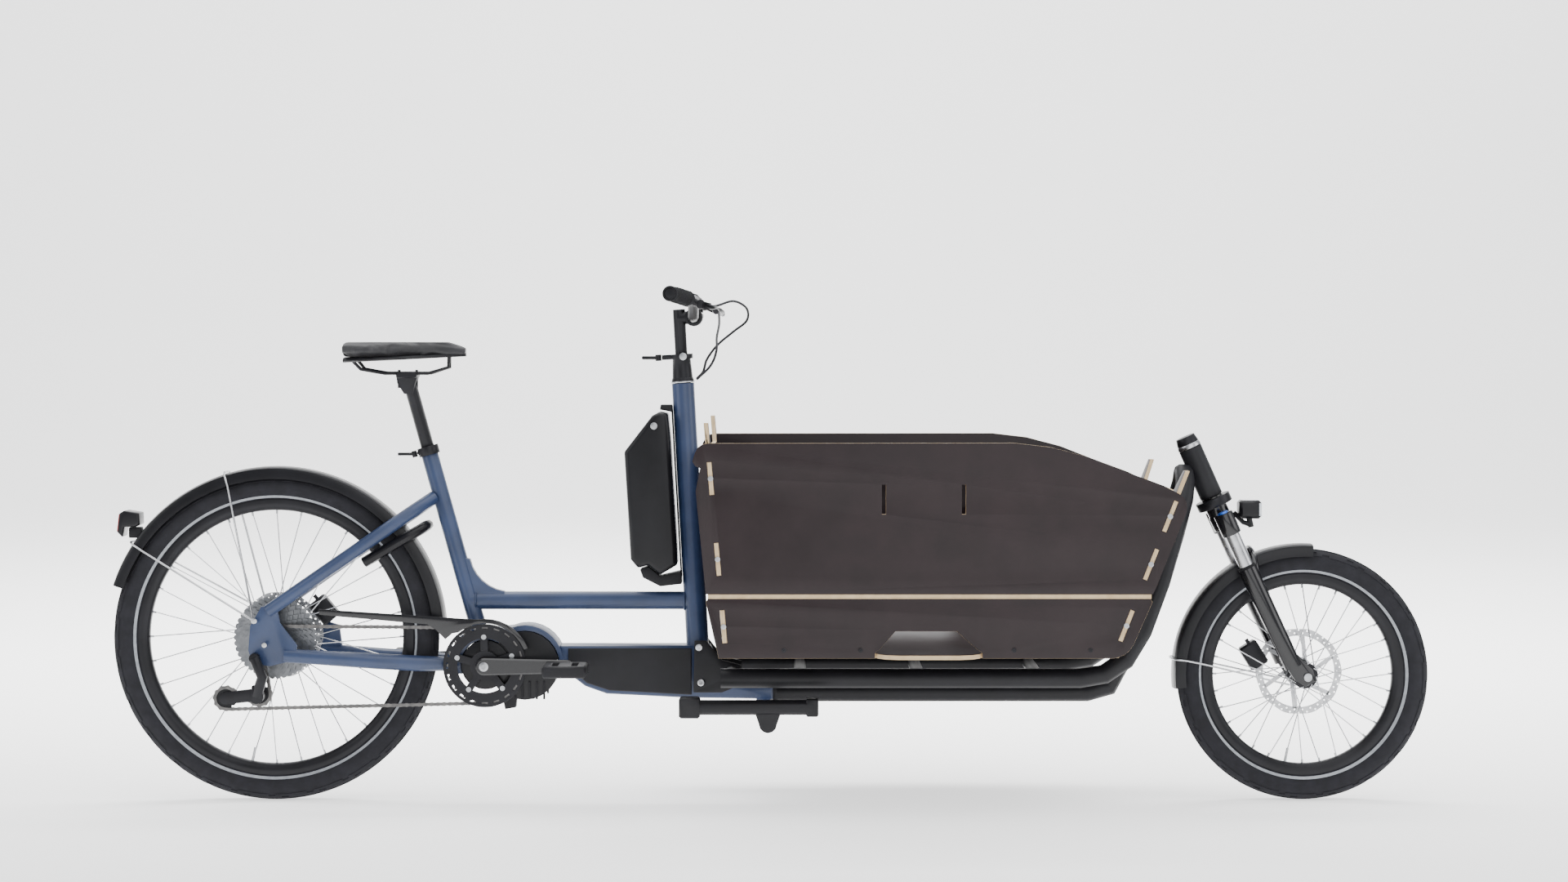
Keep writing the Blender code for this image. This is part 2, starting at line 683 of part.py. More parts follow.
def side_lower(y_sign):
    top = SPLIT_Z - PLY / 2 - GAP
    step_left, step_right = STEP_SPAN
    step = [
        (step_right, FLOOR_Z - 0.01), (step_right, FLOOR_TOP_Z + 0.002),
        (step_right - 0.012, FLOOR_TOP_Z + 0.010), (step_right - 0.050, FLOOR_TOP_Z + 0.044),
        (step_left + 0.040, FLOOR_TOP_Z + 0.044), (step_left + 0.010, FLOOR_TOP_Z + 0.010),
        (step_left, FLOOR_TOP_Z + 0.002), (step_left, FLOOR_Z - 0.01),
    ]
    front_corner = arc_points((0.668, FLOOR_Z + 0.048), 0.048, -90, -28, 4)
    outline = [
        (-0.101, FLOOR_Z), *front_corner, (0.748, top - 0.006), (0.744, top), (-0.122, top),
        (-0.126, top - 0.006),
    ]
    y = sorted((y_sign * (BOX_HALF_WIDTH - PLY), y_sign * BOX_HALF_WIDTH))
    step_cut = plate(step, y[0] - 0.01, y[1] + 0.01)
    return cut(plate(outline, *y), *slot_cutters(y_sign), step_cut)


def floor_board():
    """The floor between the side boards, with a rounded lip through each step opening."""
    left, right = STEP_SPAN
    rear_x = rear_board_x(FLOOR_TOP_Z) - 0.012
    front_x = front_board_x(FLOOR_TOP_Z) + 0.008
    y = BOARD_INNER_Y
    out = BOX_HALF_WIDTH + STEP_LIP
    inner_left, inner_right = left + 0.004, right - 0.004
    lip = [
        (inner_right, y), (inner_right, BOX_HALF_WIDTH), (inner_right - 0.016, out - 0.010),
        (inner_right - 0.042, out), (inner_left + 0.042, out), (inner_left + 0.016, out - 0.010),
        (inner_left, BOX_HALF_WIDTH), (inner_left, y),
    ]
    outline = [(rear_x, -y), *[(x, -y) for x, y in reversed(lip)], (front_x, -y), (front_x, y),
               *lip, (rear_x, y)]
    bm = bmesh.new()
    face = bm.faces.new([bm.verts.new((x, y, FLOOR_Z)) for x, y in outline])
    made = bmesh.ops.extrude_face_region(bm, geom=[face])
    risen = [v for v in made["geom"] if isinstance(v, bmesh.types.BMVert)]
    bmesh.ops.translate(bm, verts=risen, vec=(0, 0, PLY))
    return mesh_from(bm)


def mid_frame():
    """The ring of board at the split, which shows as a pale line along both sides."""
    low, high = SPLIT_Z - PLY / 2, SPLIT_Z + PLY / 2
    slant = PLY / 2 + 0.003
    rear_x = rear_board_x(SPLIT_Z) + slant
    front_x = front_board_x(SPLIT_Z) - slant
    inner_y = BOARD_INNER_Y
    wide = block((rear_x, -BOX_HALF_WIDTH, low), (front_x, BOX_HALF_WIDTH, high))
    strip_y = inner_y + GAP
    strips = [
        block((MID_STRIP_SPAN[0], y, low), (MID_STRIP_SPAN[1], y + BOX_HALF_WIDTH - strip_y, high))
        for y in (-BOX_HALF_WIDTH, strip_y)
    ]
    hollow = block(
        (rear_x + MID_FRAME_WIDTH, -inner_y + MID_FRAME_WIDTH, low - 0.01),
        (front_x - MID_FRAME_WIDTH, inner_y - MID_FRAME_WIDTH, high + 0.01),
    )
    return cut(union(wide, *strips), hollow)


for name, sign in SIDES.items():
    node(f"side_upper_{name}", side_upper(sign), PLYWOOD)
    node(f"side_lower_{name}", side_lower(sign), PLYWOOD)
node("floor_board", floor_board(), PLYWOOD)
node("mid_frame", mid_frame(), PLYWOOD)
node(
    "rear_board",
    end_board(rear_board_x, -REAR_BOARD_LEAN, REAR_TABS_Z, REAR_BOARD_TOP, BOARD_EAR),
    PLYWOOD,
)
node(
    "front_board",
    end_board(front_board_x, FRONT_BOARD_LEAN, FRONT_TABS_Z, FRONT_BOARD_TOP, BOARD_EAR - 0.012),
    PLYWOOD,
)


# Wheels -----------------------------------------------------------------------------------
def tyre(axle, radius, bead_r):
    """A solid tyre section: a neck between the rim's flanges and a round body above them."""
    section = TYRE_WIDTH / 2
    centre_r = radius - section
    neck = RIM_WIDTH / 2 - RIM_WALL - GAP
    start = -degrees(acos(neck / section))
    crown = arc_points((0, centre_r), section, start, 180 - start, 6)
    profile = [(-neck, bead_r + GAP), (neck, bead_r + GAP), *crown]
    return turned([(r, y) for y, r in profile], side(axle, 0))


def rim(axle, bead_r):
    half = RIM_WIDTH / 2
    inner = half - RIM_WALL
    base = bead_r - RIM_DEPTH
    profile = [
        (bead_r + RIM_FLANGE, half), (bead_r + RIM_FLANGE, inner), (bead_r, inner),
        (bead_r, -inner), (bead_r + RIM_FLANGE, -inner), (bead_r + RIM_FLANGE, -half),
        (bead_r - 0.006, -half), (base, -0.007), (base, 0.007), (bead_r - 0.006, half),
    ]
    return turned(profile, side(axle, 0))


def hub(axle, bead_r, dropout_spacing, flange_y):
    """The hub shell and axle with the laced spokes, each ending just short of the rim."""
    end = dropout_spacing / 2 - GAP
    rim_r = (bead_r - RIM_DEPTH) * cos(pi / ROUND) - RUNNING_GAP
    profile = [(0.0, -end), (AXLE_R, -end), (AXLE_R, flange_y[0] - 0.006)]
    for y in flange_y:
        for step in (-1, 1):
            edge = y + step * HUB_FLANGE_THICKNESS / 2
            rise = [(HUB_SHELL_R, edge), (HUB_FLANGE_R, edge)]
            profile += rise if step < 0 else rise[::-1]
    profile += [(AXLE_R, flange_y[1] + 0.006), (AXLE_R, end), (0.0, end)]
    shell = turned(profile, side(axle, 0), sides=16)
    spokes = []
    for i in range(SPOKES):
        flange = flange_y[i % 2]
        outside = 1 if (i // 2) % 2 else -1
        away = 1 if flange > 0 else -1
        rim_angle = 2 * pi * i / SPOKES
        hub_angle = rim_angle + outside * radians(62)
        hub_r = HUB_FLANGE_R - 0.004
        start = (
            axle[0] + hub_r * cos(hub_angle),
            flange + away * outside * 0.0022,
            axle[1] + hub_r * sin(hub_angle),
        )
        stop = (
            axle[0] + rim_r * cos(rim_angle),
            away * (0.0035 + outside * 0.0016),
            axle[1] + rim_r * sin(rim_angle),
        )
        spokes.append(cylinder(start, stop, SPOKE_R, sides=3))
    return union(shell, *spokes)


def rotor(axle, spokes=6):
    """The brake disc: a ring joined to its carrier by slanting arms, fixed to the hub."""
    low, high = ROTOR_Y - ROTOR_THICKNESS / 2, ROTOR_Y + ROTOR_THICKNESS / 2
    ring = [(ROTOR_R - 0.015, low), (ROTOR_R, low), (ROTOR_R, high), (ROTOR_R - 0.015, high)]
    carrier_r = HUB_SHELL_R + GAP
    carrier = [(carrier_r, low), (0.030, low), (0.030, high), (carrier_r, high)]
    arms = []
    for i in range(spokes):
        a = 2 * pi * i / spokes
        inner, outer = (0.024, a - 0.12, a + 0.12), (ROTOR_R - 0.010, a + 0.38, a + 0.50)
        outline = [
            (axle[0] + r * cos(t), axle[1] + r * sin(t))
            for r, t in (
                (inner[0], inner[1]), (outer[0], outer[1]), (outer[0], outer[2]),
                (inner[0], inner[2]),
            )
        ]
        arms.append(plate(outline, low, high))
    centre = side(axle, 0)
    return union(turned(ring, centre, sides=30), turned(carrier, centre, sides=12), *arms)


def caliper(position, turn_deg, wheel_axle):
    """A brake caliper that straddles the edge of the disc."""
    body = block((-0.020, ROTOR_Y - 0.011, -0.027), (0.020, ROTOR_Y + 0.018, 0.027), 0.004)
    inlet = cylinder((0.004, ROTOR_Y - 0.004, 0.022), (0.004, ROTOR_Y - 0.004, 0.036), 0.004, 8)
    body = union(body, inlet)
    body.transform(
        Matrix.Translation(side(position, 0)) @ Matrix.Rotation(radians(turn_deg), 4, "Y")
    )
    slot = [
        (0.030, ROTOR_Y - 0.0026), (ROTOR_R + 0.0015, ROTOR_Y - 0.0026),
        (ROTOR_R + 0.0015, ROTOR_Y + 0.0026), (0.030, ROTOR_Y + 0.0026),
    ]
    return cut(body, turned(slot, side(wheel_axle, 0)))


WHEELS = {
    "rear": (REAR_AXLE, REAR_TYRE_R, REAR_BEAD_R, REAR_DROPOUT_SPACING, (-0.008, 0.033)),
    "front": (FRONT_AXLE, FRONT_TYRE_R, FRONT_BEAD_R, FRONT_DROPOUT_SPACING, (-0.033, 0.033)),
}
for name, (axle, tyre_r, bead, spacing, flanges) in WHEELS.items():
    centre = side(axle, 0)
    node(f"{name}_tyre", tyre(axle, tyre_r, bead), RUBBER, centre)
    node(f"{name}_rim", rim(axle, bead), ALLOY, centre)
    node(f"{name}_hub", hub(axle, bead, spacing, flanges), ALLOY, centre)
    node(f"{name}_rotor", rotor(axle), STEEL, centre)
REAR_CALIPER = (REAR_X + 0.091, 0.386)
node("rear_caliper", caliper(REAR_CALIPER, -40, REAR_AXLE), ALLOY)


# Drivetrain --------------------------------------------------------------------------------
def pitch_radius(teeth):
    return CHAIN_PITCH / (2 * sin(pi / teeth))


def cassette():
    """Stepped cogs from the largest, inboard, to the one that the chain runs on."""
    smallest = pitch_radius(SMALL_COG_TEETH) - CHAIN_HEIGHT / 2 - RUNNING_GAP
    largest = pitch_radius(LARGE_COG_TEETH)
    bore = HUB_SHELL_R - 0.0035
    profile = [(bore, CHAIN_Y - 0.003)]
    for i in range(COG_COUNT):
        share = i / (COG_COUNT - 1)
        r = smallest + (largest - smallest) * share**1.25
        y = CHAIN_Y + COG_PITCH_Y * i
        profile += [(r, y - 0.0011), (r, y + 0.0011)]
        if i == 0:
            clear_y = y + CHAIN_WIDTH / 2 + 0.0008
            profile += [(r, clear_y), (largest * 0.30, clear_y)]
    profile += [(bore, CHAIN_Y + COG_PITCH_Y * (COG_COUNT - 1) + 0.0011)]
    return turned(profile, side(REAR_AXLE, 0), sides=20)


def tangent_points(a, ra, b, rb, turn):
    """Where a straight run leaves circle a and meets circle b, with turn 1 or -1 for a's side."""
    ax, az = a
    bx, bz = b
    distance = hypot(bx - ax, bz - az)
    along = atan2(bz - az, bx - ax)
    swing = turn * (pi / 2 - atan2(ra - rb, (distance**2 - (ra - rb) ** 2) ** 0.5))
    angle = along + swing
    return (
        (ax + ra * cos(angle), az + ra * sin(angle)),
        (bx + rb * cos(angle), bz + rb * sin(angle)),
        degrees(angle),
    )


def crossing_deg(a, ra, b, rb, turn):
    """The angle on circle a where a straight run leaves it to meet circle b's other side."""
    distance = hypot(b[0] - a[0], b[1] - a[1])
    return degrees(atan2(b[1] - a[1], b[0] - a[0]) + turn * acos((ra + rb) / distance))


def chain_route():
    """The chain's centre line, running round the ring, the cog and both jockey wheels."""
    ring_r = pitch_radius(CHAINRING_TEETH)
    cog_r = pitch_radius(SMALL_COG_TEETH)
    jockey_r = JOCKEY_R
    top = tangent_points(REAR_AXLE, cog_r, CRANK_AXIS, ring_r, 1)
    low = tangent_points(LOWER_JOCKEY, jockey_r, CRANK_AXIS, ring_r, -1)
    route = arc_points(CRANK_AXIS, ring_r, top[2], low[2], 16)
    to_upper = crossing_deg(LOWER_JOCKEY, jockey_r, UPPER_JOCKEY, jockey_r, 1)
    to_cog = crossing_deg(UPPER_JOCKEY, jockey_r, REAR_AXLE, cog_r, -1)
    route += arc_points(LOWER_JOCKEY, jockey_r, low[2], to_upper - 360, 10)
    route += arc_points(UPPER_JOCKEY, jockey_r, to_upper - 180, to_cog, 8)
    route += arc_points(REAR_AXLE, cog_r, to_cog + 180, top[2], 6)
    return route


def offset_loop(points, distance):
    """The closed loop moved sideways by a distance."""
    moved = []
    count = len(points)
    for i, point in enumerate(points):
        before, after = Vector(points[i - 1]), Vector(points[(i + 1) % count])
        along = (after - before).normalized()
        moved.append((point[0] - along.y * distance, point[1] + along.x * distance))
    return moved


def chain():
    route = chain_route()
    low, high = CHAIN_Y - CHAIN_WIDTH / 2, CHAIN_Y + CHAIN_WIDTH / 2
    bm = bmesh.new()
    loops = []
    for distance, y in (
        (CHAIN_HEIGHT / 2, low), (CHAIN_HEIGHT / 2, high),
        (-CHAIN_HEIGHT / 2, high), (-CHAIN_HEIGHT / 2, low),
    ):
        loops.append([bm.verts.new((x, y, z)) for x, z in offset_loop(route, distance)])
    for a, b in zip(loops, loops[1:] + loops[:1]):
        for i in range(len(route)):
            bm.faces.new((a[i - 1], a[i], b[i], b[i - 1]))
    return mesh_from(bm)


def chainring():
    """The toothed ring with its guard ring and spider, all turning with the crank."""
    ring_r = pitch_radius(CHAINRING_TEETH) - CHAIN_HEIGHT / 2 - RUNNING_GAP
    guard_low = CHAIN_Y - CHAIN_WIDTH / 2 - 0.0040
    guard_high = guard_low + 0.0025
    bore = SPINDLE_R + RUNNING_GAP
    ring = [(0.055, CHAIN_Y - 0.0015), (ring_r, CHAIN_Y - 0.0015), (ring_r, CHAIN_Y + 0.0015),
            (0.055, CHAIN_Y + 0.0015)]
    guard = [(0.056, guard_low), (GUARD_RING_R, guard_low), (GUARD_RING_R, guard_high),
             (0.056, guard_high)]
    centre = side(CRANK_AXIS, 0)
    spider_hub = [(bore, guard_low), (0.024, guard_low), (0.024, CHAIN_Y + 0.0015),
                  (bore, CHAIN_Y + 0.0015)]
    arms = []
    for i in range(5):
        a = 2 * pi * i / 5 + 0.35
        outline = [
            (CRANK_AXIS[0] + r * cos(a + t), CRANK_AXIS[1] + r * sin(a + t))
            for r, t in ((0.019, -0.35), (0.060, -0.13), (0.060, 0.13), (0.019, 0.35))
        ]
        arms.append(plate(outline, guard_low + 0.0004, CHAIN_Y + 0.0012))
    return union(
        turned(ring, centre, 26), turned(guard, centre, 26), turned(spider_hub, centre, 16), *arms
    )


def crank_arm(sign):
    """One arm, its boss round the spindle; the left arm carries the spindle through."""
    ahead = 1 if sign < 0 else -1
    inner = sign * CRANK_ARM_Y
    y = sorted((inner, inner + sign * CRANK_ARM_THICKNESS))
    end = (CRANK_AXIS[0] + ahead * CRANK_LENGTH, CRANK_AXIS[1])
    start_deg = 90 if ahead > 0 else -90
    outline = arc_points(CRANK_AXIS, 0.0175, start_deg, start_deg + 180, 8)
    outline += arc_points(end, 0.0135, start_deg + 180, start_deg + 360, 8)
    return plate(outline, *y, bevel=0.003)


def crank_left():
    inner_end = -CRANK_ARM_Y - CRANK_ARM_THICKNESS + 0.003
    spindle = cylinder(
        side(CRANK_AXIS, CRANK_ARM_Y + 0.004), side(CRANK_AXIS, inner_end), SPINDLE_R, 20
    )
    return union(crank_arm(1), spindle)


def crank_right():
    y = -CRANK_ARM_Y
    bore = cylinder(
        side(CRANK_AXIS, y + 0.01), side(CRANK_AXIS, y - CRANK_ARM_THICKNESS + 0.003 - GAP),
        SPINDLE_R + GAP, 20,
    )
    return cut(crank_arm(-1), bore)


def pedal(sign):
    """A platform pedal: a frame of bars round its axle, with two grip blocks."""
    ahead = 1 if sign < 0 else -1
    x, z = CRANK_AXIS[0] + ahead * CRANK_LENGTH, CRANK_AXIS[1]
    length, width, height = PEDAL_SIZE
    inner = CRANK_ARM_Y + CRANK_ARM_THICKNESS
    start = inner + 0.012
    y = sorted((sign * start, sign * (start + width)))
    body = block((x - length / 2, y[0], z - height / 2), (x + length / 2, y[1], z + height / 2),
                 0.004)
    windows = [
        block((x + low, y[0] + 0.014, z - 0.03), (x + high, y[1] - 0.014, z + 0.03))
        for low, high in ((-length / 2 + 0.018, -0.013), (0.013, length / 2 - 0.018))
    ]
    axle = cylinder((x, sign * (inner + GAP), z), (x, sign * (start + 0.01), z), PEDAL_AXLE_R, 12)
    return union(cut(body, *windows), axle)


def motor_unit():
    """The motor's housing, with its spindle bore and a skid fin below."""
    low, high = MOTOR_SIDES_Y
    fin = plate([(-0.556, 0.232), (-0.520, 0.232), (-0.524, 0.190), (-0.546, 0.186)], -0.012, 0.012)
    shell = union(*motor_shape(low, high, 0.0), fin)
    bore = cylinder(side(CRANK_AXIS, -0.1), side(CRANK_AXIS, 0.1), SPINDLE_R + RUNNING_GAP, 16)
    return cut(shell, bore)


def jockey(centre):
    bore = 0.004 + RUNNING_GAP
    tip = JOCKEY_R - CHAIN_HEIGHT / 2 - RUNNING_GAP
    profile = [(bore, CHAIN_Y - 0.0025), (tip, CHAIN_Y - 0.0012), (tip, CHAIN_Y + 0.0012),
               (bore, CHAIN_Y + 0.0025)]
    return turned(profile, side(centre, 0), sides=16)


def derailleur():
    """The body under the dropout and the cage of two plates that holds the jockey wheels."""
    plates = []
    for low in (CHAIN_Y - CHAIN_WIDTH / 2 - 0.0035, CHAIN_Y + CHAIN_WIDTH / 2 + 0.0010):
        outline = arc_points(LOWER_JOCKEY, 0.0125, 96, 264, 6)
        outline += arc_points(UPPER_JOCKEY, 0.0125, -84, 84, 6)
        plates.append(plate(outline, low, low + 0.0025))
    pins = [
        cylinder(
            side(c, CHAIN_Y - CHAIN_WIDTH / 2 - 0.002), side(c, CHAIN_Y + CHAIN_WIDTH / 2 + 0.002),
            0.004, 10,
        )
        for c in (LOWER_JOCKEY, UPPER_JOCKEY)
    ]
    knuckle = cylinder((UPPER_JOCKEY[0], -0.0605, UPPER_JOCKEY[1]),
                       (UPPER_JOCKEY[0], -0.094, UPPER_JOCKEY[1]), 0.015, 14)
    arm = sweep(
        [(REAR_X - 0.026, -0.088, 0.222), (REAR_X - 0.013, -0.096, 0.262),
         (REAR_X - 0.030, -0.094, 0.300)], 0.011, 2,
    )
    hanger = cylinder(
        (REAR_X - 0.030, -0.0828, 0.300), (REAR_X - 0.030, -0.100, 0.300), 0.010, 12
    )
    return union(*plates, *pins, knuckle, arm, hanger)


def chain_guard():
    """A long cover over the chain's upper run that widens round the top of the chainring."""
    low = CHAIN_Y - CHAIN_WIDTH / 2 - 0.0010
    x, z = CRANK_AXIS
    outer = arc_points(CRANK_AXIS, 0.0960, 100, 22, 8)
    inner = arc_points(CRANK_AXIS, 0.0865, 22, 128, 9)
    outline = [
        (REAR_X + 0.095, 0.3965), *outer, *inner, (x - 0.066, z + 0.066), (x - 0.080, z + 0.054),
        (x - 0.100, z + 0.074), (-0.700, 0.3655), (REAR_X + 0.097, 0.3850),
    ]
    return plate(outline, low - 0.0062, low - 0.0040)


node("motor_unit", motor_unit(), PLASTIC)
node("cassette", cassette(), CHAIN_STEEL, side(REAR_AXLE, 0))
node("chain", chain(), CHAIN_STEEL)
node("chain_guard", chain_guard(), PLASTIC)
node("chainring", chainring(), ALLOY, side(CRANK_AXIS, 0))
node("crank_right", crank_right(), ALLOY, side(CRANK_AXIS, 0))
node("crank_left", crank_left(), ALLOY, side(CRANK_AXIS, 0))
node("rear_derailleur", derailleur(), ALLOY)
node("jockey_upper", jockey(UPPER_JOCKEY), PLASTIC, side(UPPER_JOCKEY, CHAIN_Y))
node("jockey_lower", jockey(LOWER_JOCKEY), PLASTIC, side(LOWER_JOCKEY, CHAIN_Y))
for name, sign in SIDES.items():
    ahead = 1 if sign < 0 else -1
    axle_x = CRANK_AXIS[0] + ahead * CRANK_LENGTH
    node(f"pedal_{name}", pedal(sign), PLASTIC, (axle_x, 0, CRANK_AXIS[1]))


# Fenders, lights and lock -------------------------------------------------------------------
def fender_section(radius):
    """A shallow channel over the tyre: radii and y of its outer and then its inner outline."""
    half = FENDER_HALF_WIDTH
    outer = [
        (radius - FENDER_SKIRT, half), (radius - 0.010, half), (radius - 0.002, half * 0.70),
        (radius, 0.0), (radius - 0.002, -half * 0.70), (radius - 0.010, -half),
        (radius - FENDER_SKIRT, -half),
    ]
    inner = [
        (r - (FENDER_WALL if abs(y) < half else 0), y - FENDER_WALL * (y > half * 0.9)
         + FENDER_WALL * (y < -half * 0.9))
        for r, y in reversed(outer)
    ]
    return outer + inner


def polar(centre, radius, angle_deg, y=0.0):
    a = radians(angle_deg)
    return (centre[0] + radius * cos(a), y, centre[1] + radius * sin(a))


def stay_hoop(anchor, anchor_y, centre, radius, angle_deg):
    """A wire from one dropout, over the fender and down to the other dropout."""
    beside = FENDER_HALF_WIDTH + WIRE_R + 0.0012
    top = radius + WIRE_R + 0.0012
    half = [
        (anchor[0], anchor_y, anchor[1]),
        polar(centre, top - 0.030, angle_deg, beside),
        polar(centre, top - 0.006, angle_deg, beside - 0.001),
        polar(centre, top, angle_deg, beside - 0.012),
    ]
    return sweep(half + [(x, -y, z) for x, y, z in reversed(half)], WIRE_R, 1)


REAR_FENDER_R = REAR_TYRE_R + FENDER_GAP_REAR
FRONT_FENDER_R = FRONT_TYRE_R + FENDER_GAP_FRONT


def rear_fender():
    shell = arch(fender_section(REAR_FENDER_R), REAR_AXLE, *REAR_FENDER_SPAN, 16)
    lamp_foot = block((REAR_X - 0.303, -0.012, 0.538), (REAR_X - 0.277, 0.012, 0.560))
    return union(shell, lamp_foot)


def rear_stays():
    anchor = (REAR_AXLE[0] - 0.032, REAR_AXLE[1] + 0.040)
    y = REAR_DROPOUT_SPACING / 2 + DROPOUT_THICKNESS + WIRE_R + 0.0015
    hoops = [stay_hoop(anchor, y, REAR_AXLE, REAR_FENDER_R, angle) for angle in (107, 146.5)]
    eyes = [
        cylinder(side(anchor, s * (y - WIRE_R - 0.0012)), side(anchor, s * (y + 0.004)), 0.0055, 10)
        for s in (-1, 1)
    ]
    return union(*hoops, *eyes)


def tail_light():
    """The lamp on the end of the rear fender: a wedge with its lens face to the rear."""
    outline = [(0.310, 0.595), (0.279, 0.590), (0.278, 0.566), (0.287, 0.5615),
               (0.3095, 0.5610), (0.3135, 0.540), (0.325, 0.552), (0.321, 0.588)]
    return plate([(REAR_X - behind, z) for behind, z in outline], -0.026, 0.026, bevel=0.003)


def ring_lock():
    """A horseshoe lock round the tyre and rim, open towards the hub, under the seat stays."""
    out = (Vector(side(LOCK_ARCH_CENTRE, 0)) - Vector(side(LOCK_OPEN_END, 0))).normalized()
    route = [Vector(side(LOCK_OPEN_END, -LOCK_ARCH_R))]
    for step in range(9):
        a = radians(-90 + step * 22.5)
        across = Vector((0, LOCK_ARCH_R * sin(a), 0))
        route.append(Vector(side(LOCK_ARCH_CENTRE, 0)) + out * LOCK_ARCH_R * cos(a) + across)
    route.append(Vector(side(LOCK_OPEN_END, LOCK_ARCH_R)))
    return sweep(route, LOCK_SECTION_R, 2)


def headlight():
    """The lamp, its arm and the bracket that bolts to the crown."""
    x = CROWN.x
    lamp = block((x + 0.034, -0.024, 0.578), (x + 0.080, 0.024, 0.616), 0.006)
    arm = sweep([(x + 0.056, 0, 0.582), (x + 0.061, 0, 0.560)], 0.006, 2)
    foot = sweep([(x + 0.061, 0, 0.564), (x + 0.044, 0, 0.570), on_steerer(0.003, 0.0285)], 0.005, 2)
    return union(lamp, arm, foot)


# Steering column and handlebar ---------------------------------------------------------------
def on_column(along, ahead=0.0, y=0.0):
    """A point along the column's axis from its top, ahead of it and to the side."""
    across = Vector((COLUMN_AXIS.z, 0, -COLUMN_AXIS.x))
    return Vector(side(COLUMN_TOP, 0)) + COLUMN_AXIS * along + across * ahead + Vector((0, y, 0))


COLUMN_LEAN = atan2(COLUMN_AXIS.x, COLUMN_AXIS.z)


def stem_sleeve():
    """The turning sleeve: headset cap, sleeve, clamp collar and the shaft inside the column."""
    shaft = cylinder(on_column(-SLEEVE_DEPTH), on_column(0.010), SLEEVE_SHAFT_R, 16)
    cap = cylinder(on_column(0.0008), on_column(0.011), 0.0245, 16, 0.0215)
    sleeve = cylinder(on_column(0.010), on_column(0.052), SLEEVE_R, 16, 0.0185)
    collar = cylinder(on_column(0.050), on_column(SLEEVE_TOP), 0.0235, 16)
    lug = block((-0.040, -0.009, -0.005), (-0.018, 0.009, 0.005))
    lug.transform(
        Matrix.Translation(on_column(0.055)) @ Matrix.Rotation(COLUMN_LEAN, 4, "Y")
    )
    solid = union(shaft, cap, sleeve, collar, lug)
    bore = cylinder(on_column(-SLEEVE_DEPTH - 0.02), on_column(0.10), SLEEVE_BORE, 16)
    return cut(solid, bore)


def stem_lever():
    """The quick-release lever of the stem's collar: a cam on its hinge and a blade to the rear."""
    pivot = on_column(0.055, STEM_LEVER_BEHIND)
    cam = cylinder(pivot - COLUMN_AXIS * CAM_HALF_HEIGHT, pivot + COLUMN_AXIS * CAM_HALF_HEIGHT,
                   0.0062, 12)
    blade = block((-0.034, -0.007, -0.0035), (0.0, 0.007, 0.0035), 0.0015)
    blade.transform(Matrix.Translation(pivot))
    return union(cam, blade)


def stem_tube():
    """The sliding tube with its bar clamp on top."""
    tube = cylinder(on_column(-STEM_INSERTION), on_column(STEM_TOP), STEM_R, 16)
    neck = cylinder(on_column(STEM_TOP - 0.018, -0.004), on_column(STEM_TOP - 0.018, 0.022),
                    0.0135, 16)
    centre = on_column(STEM_TOP - 0.018, BAR_CENTRE_AHEAD)
    clamp = cylinder(centre + Vector((0, -0.024, 0)), centre + Vector((0, 0.024, 0)), 0.0185, 16)
    bore = cylinder(centre + Vector((0, -0.04, 0)), centre + Vector((0, 0.04, 0)), BAR_R + GAP, 16)
    return cut(union(tube, neck, clamp), bore)


BAR_CENTRE = on_column(STEM_TOP - 0.018, BAR_CENTRE_AHEAD)
BAR_RISE = 0.034
GRIP_START_Y = BAR_HALF_WIDTH - GRIP_LENGTH


def bar_point(y):
    """The bar's centre at a distance from the middle: flat, rising, then swept back."""
    rise = min(max((abs(y) - 0.050) / 0.080, 0), 1)
    sweep_back = max(abs(y) - 0.130, 0)
    x = BAR_CENTRE.x + 0.004 * rise - 0.20 * sweep_back
    return Vector((x, y, BAR_CENTRE.z + BAR_RISE * (3 * rise**2 - 2 * rise**3)
                   + 0.05 * sweep_back))


def display_pieces():
    """The control display beside the stem, with its ring and arm round the bar."""
    middle = bar_point(0.038)
    ring = cylinder(middle - Vector((0, 0.008, 0)), middle + Vector((0, 0.008, 0)), 0.0165, 12)
    tablet = block((-0.032, -0.036, 0.0), (0.034, 0.036, 0.014), 0.003)
    tablet.transform(
        Matrix.Translation(middle + Vector((0.010, -0.038, 0.022)))
        @ Matrix.Rotation(radians(24), 4, "Y")
    )
    arm = block((-0.006, -0.008, 0.010), (0.018, 0.008, 0.034))
    arm.transform(Matrix.Translation(middle))
    return [ring, tablet, arm]


def handlebar():
    """The bar with the display, the brake perches and their master cylinders clamped to it."""
    half = [0.0, 0.050, 0.070, 0.090, 0.110, 0.130, GRIP_START_Y, BAR_HALF_WIDTH - 0.002]
    ys = [-y for y in reversed(half[1:])] + half
    bar = sweep([bar_point(y) for y in ys], BAR_R, 2)
    pieces = []
    for s in (-1, 1):
        clamp_y = s * (GRIP_START_Y - 0.020)
        middle = bar_point(clamp_y)
        pieces.append(
            cylinder(middle - Vector((0, 0.007, 0)), middle + Vector((0, 0.007, 0)), 0.0155, 12)
        )
        forward = middle + Vector((0.024, 0, -0.012))
        pieces.append(cylinder(middle, forward, 0.0075, 10))
        pieces.append(
            cylinder(forward + Vector((0, -s * 0.045, 0)), forward + Vector((0.003, s * 0.020, 0)),
                     0.0095, 12)
        )
    return union(bar, *pieces, *display_pieces())


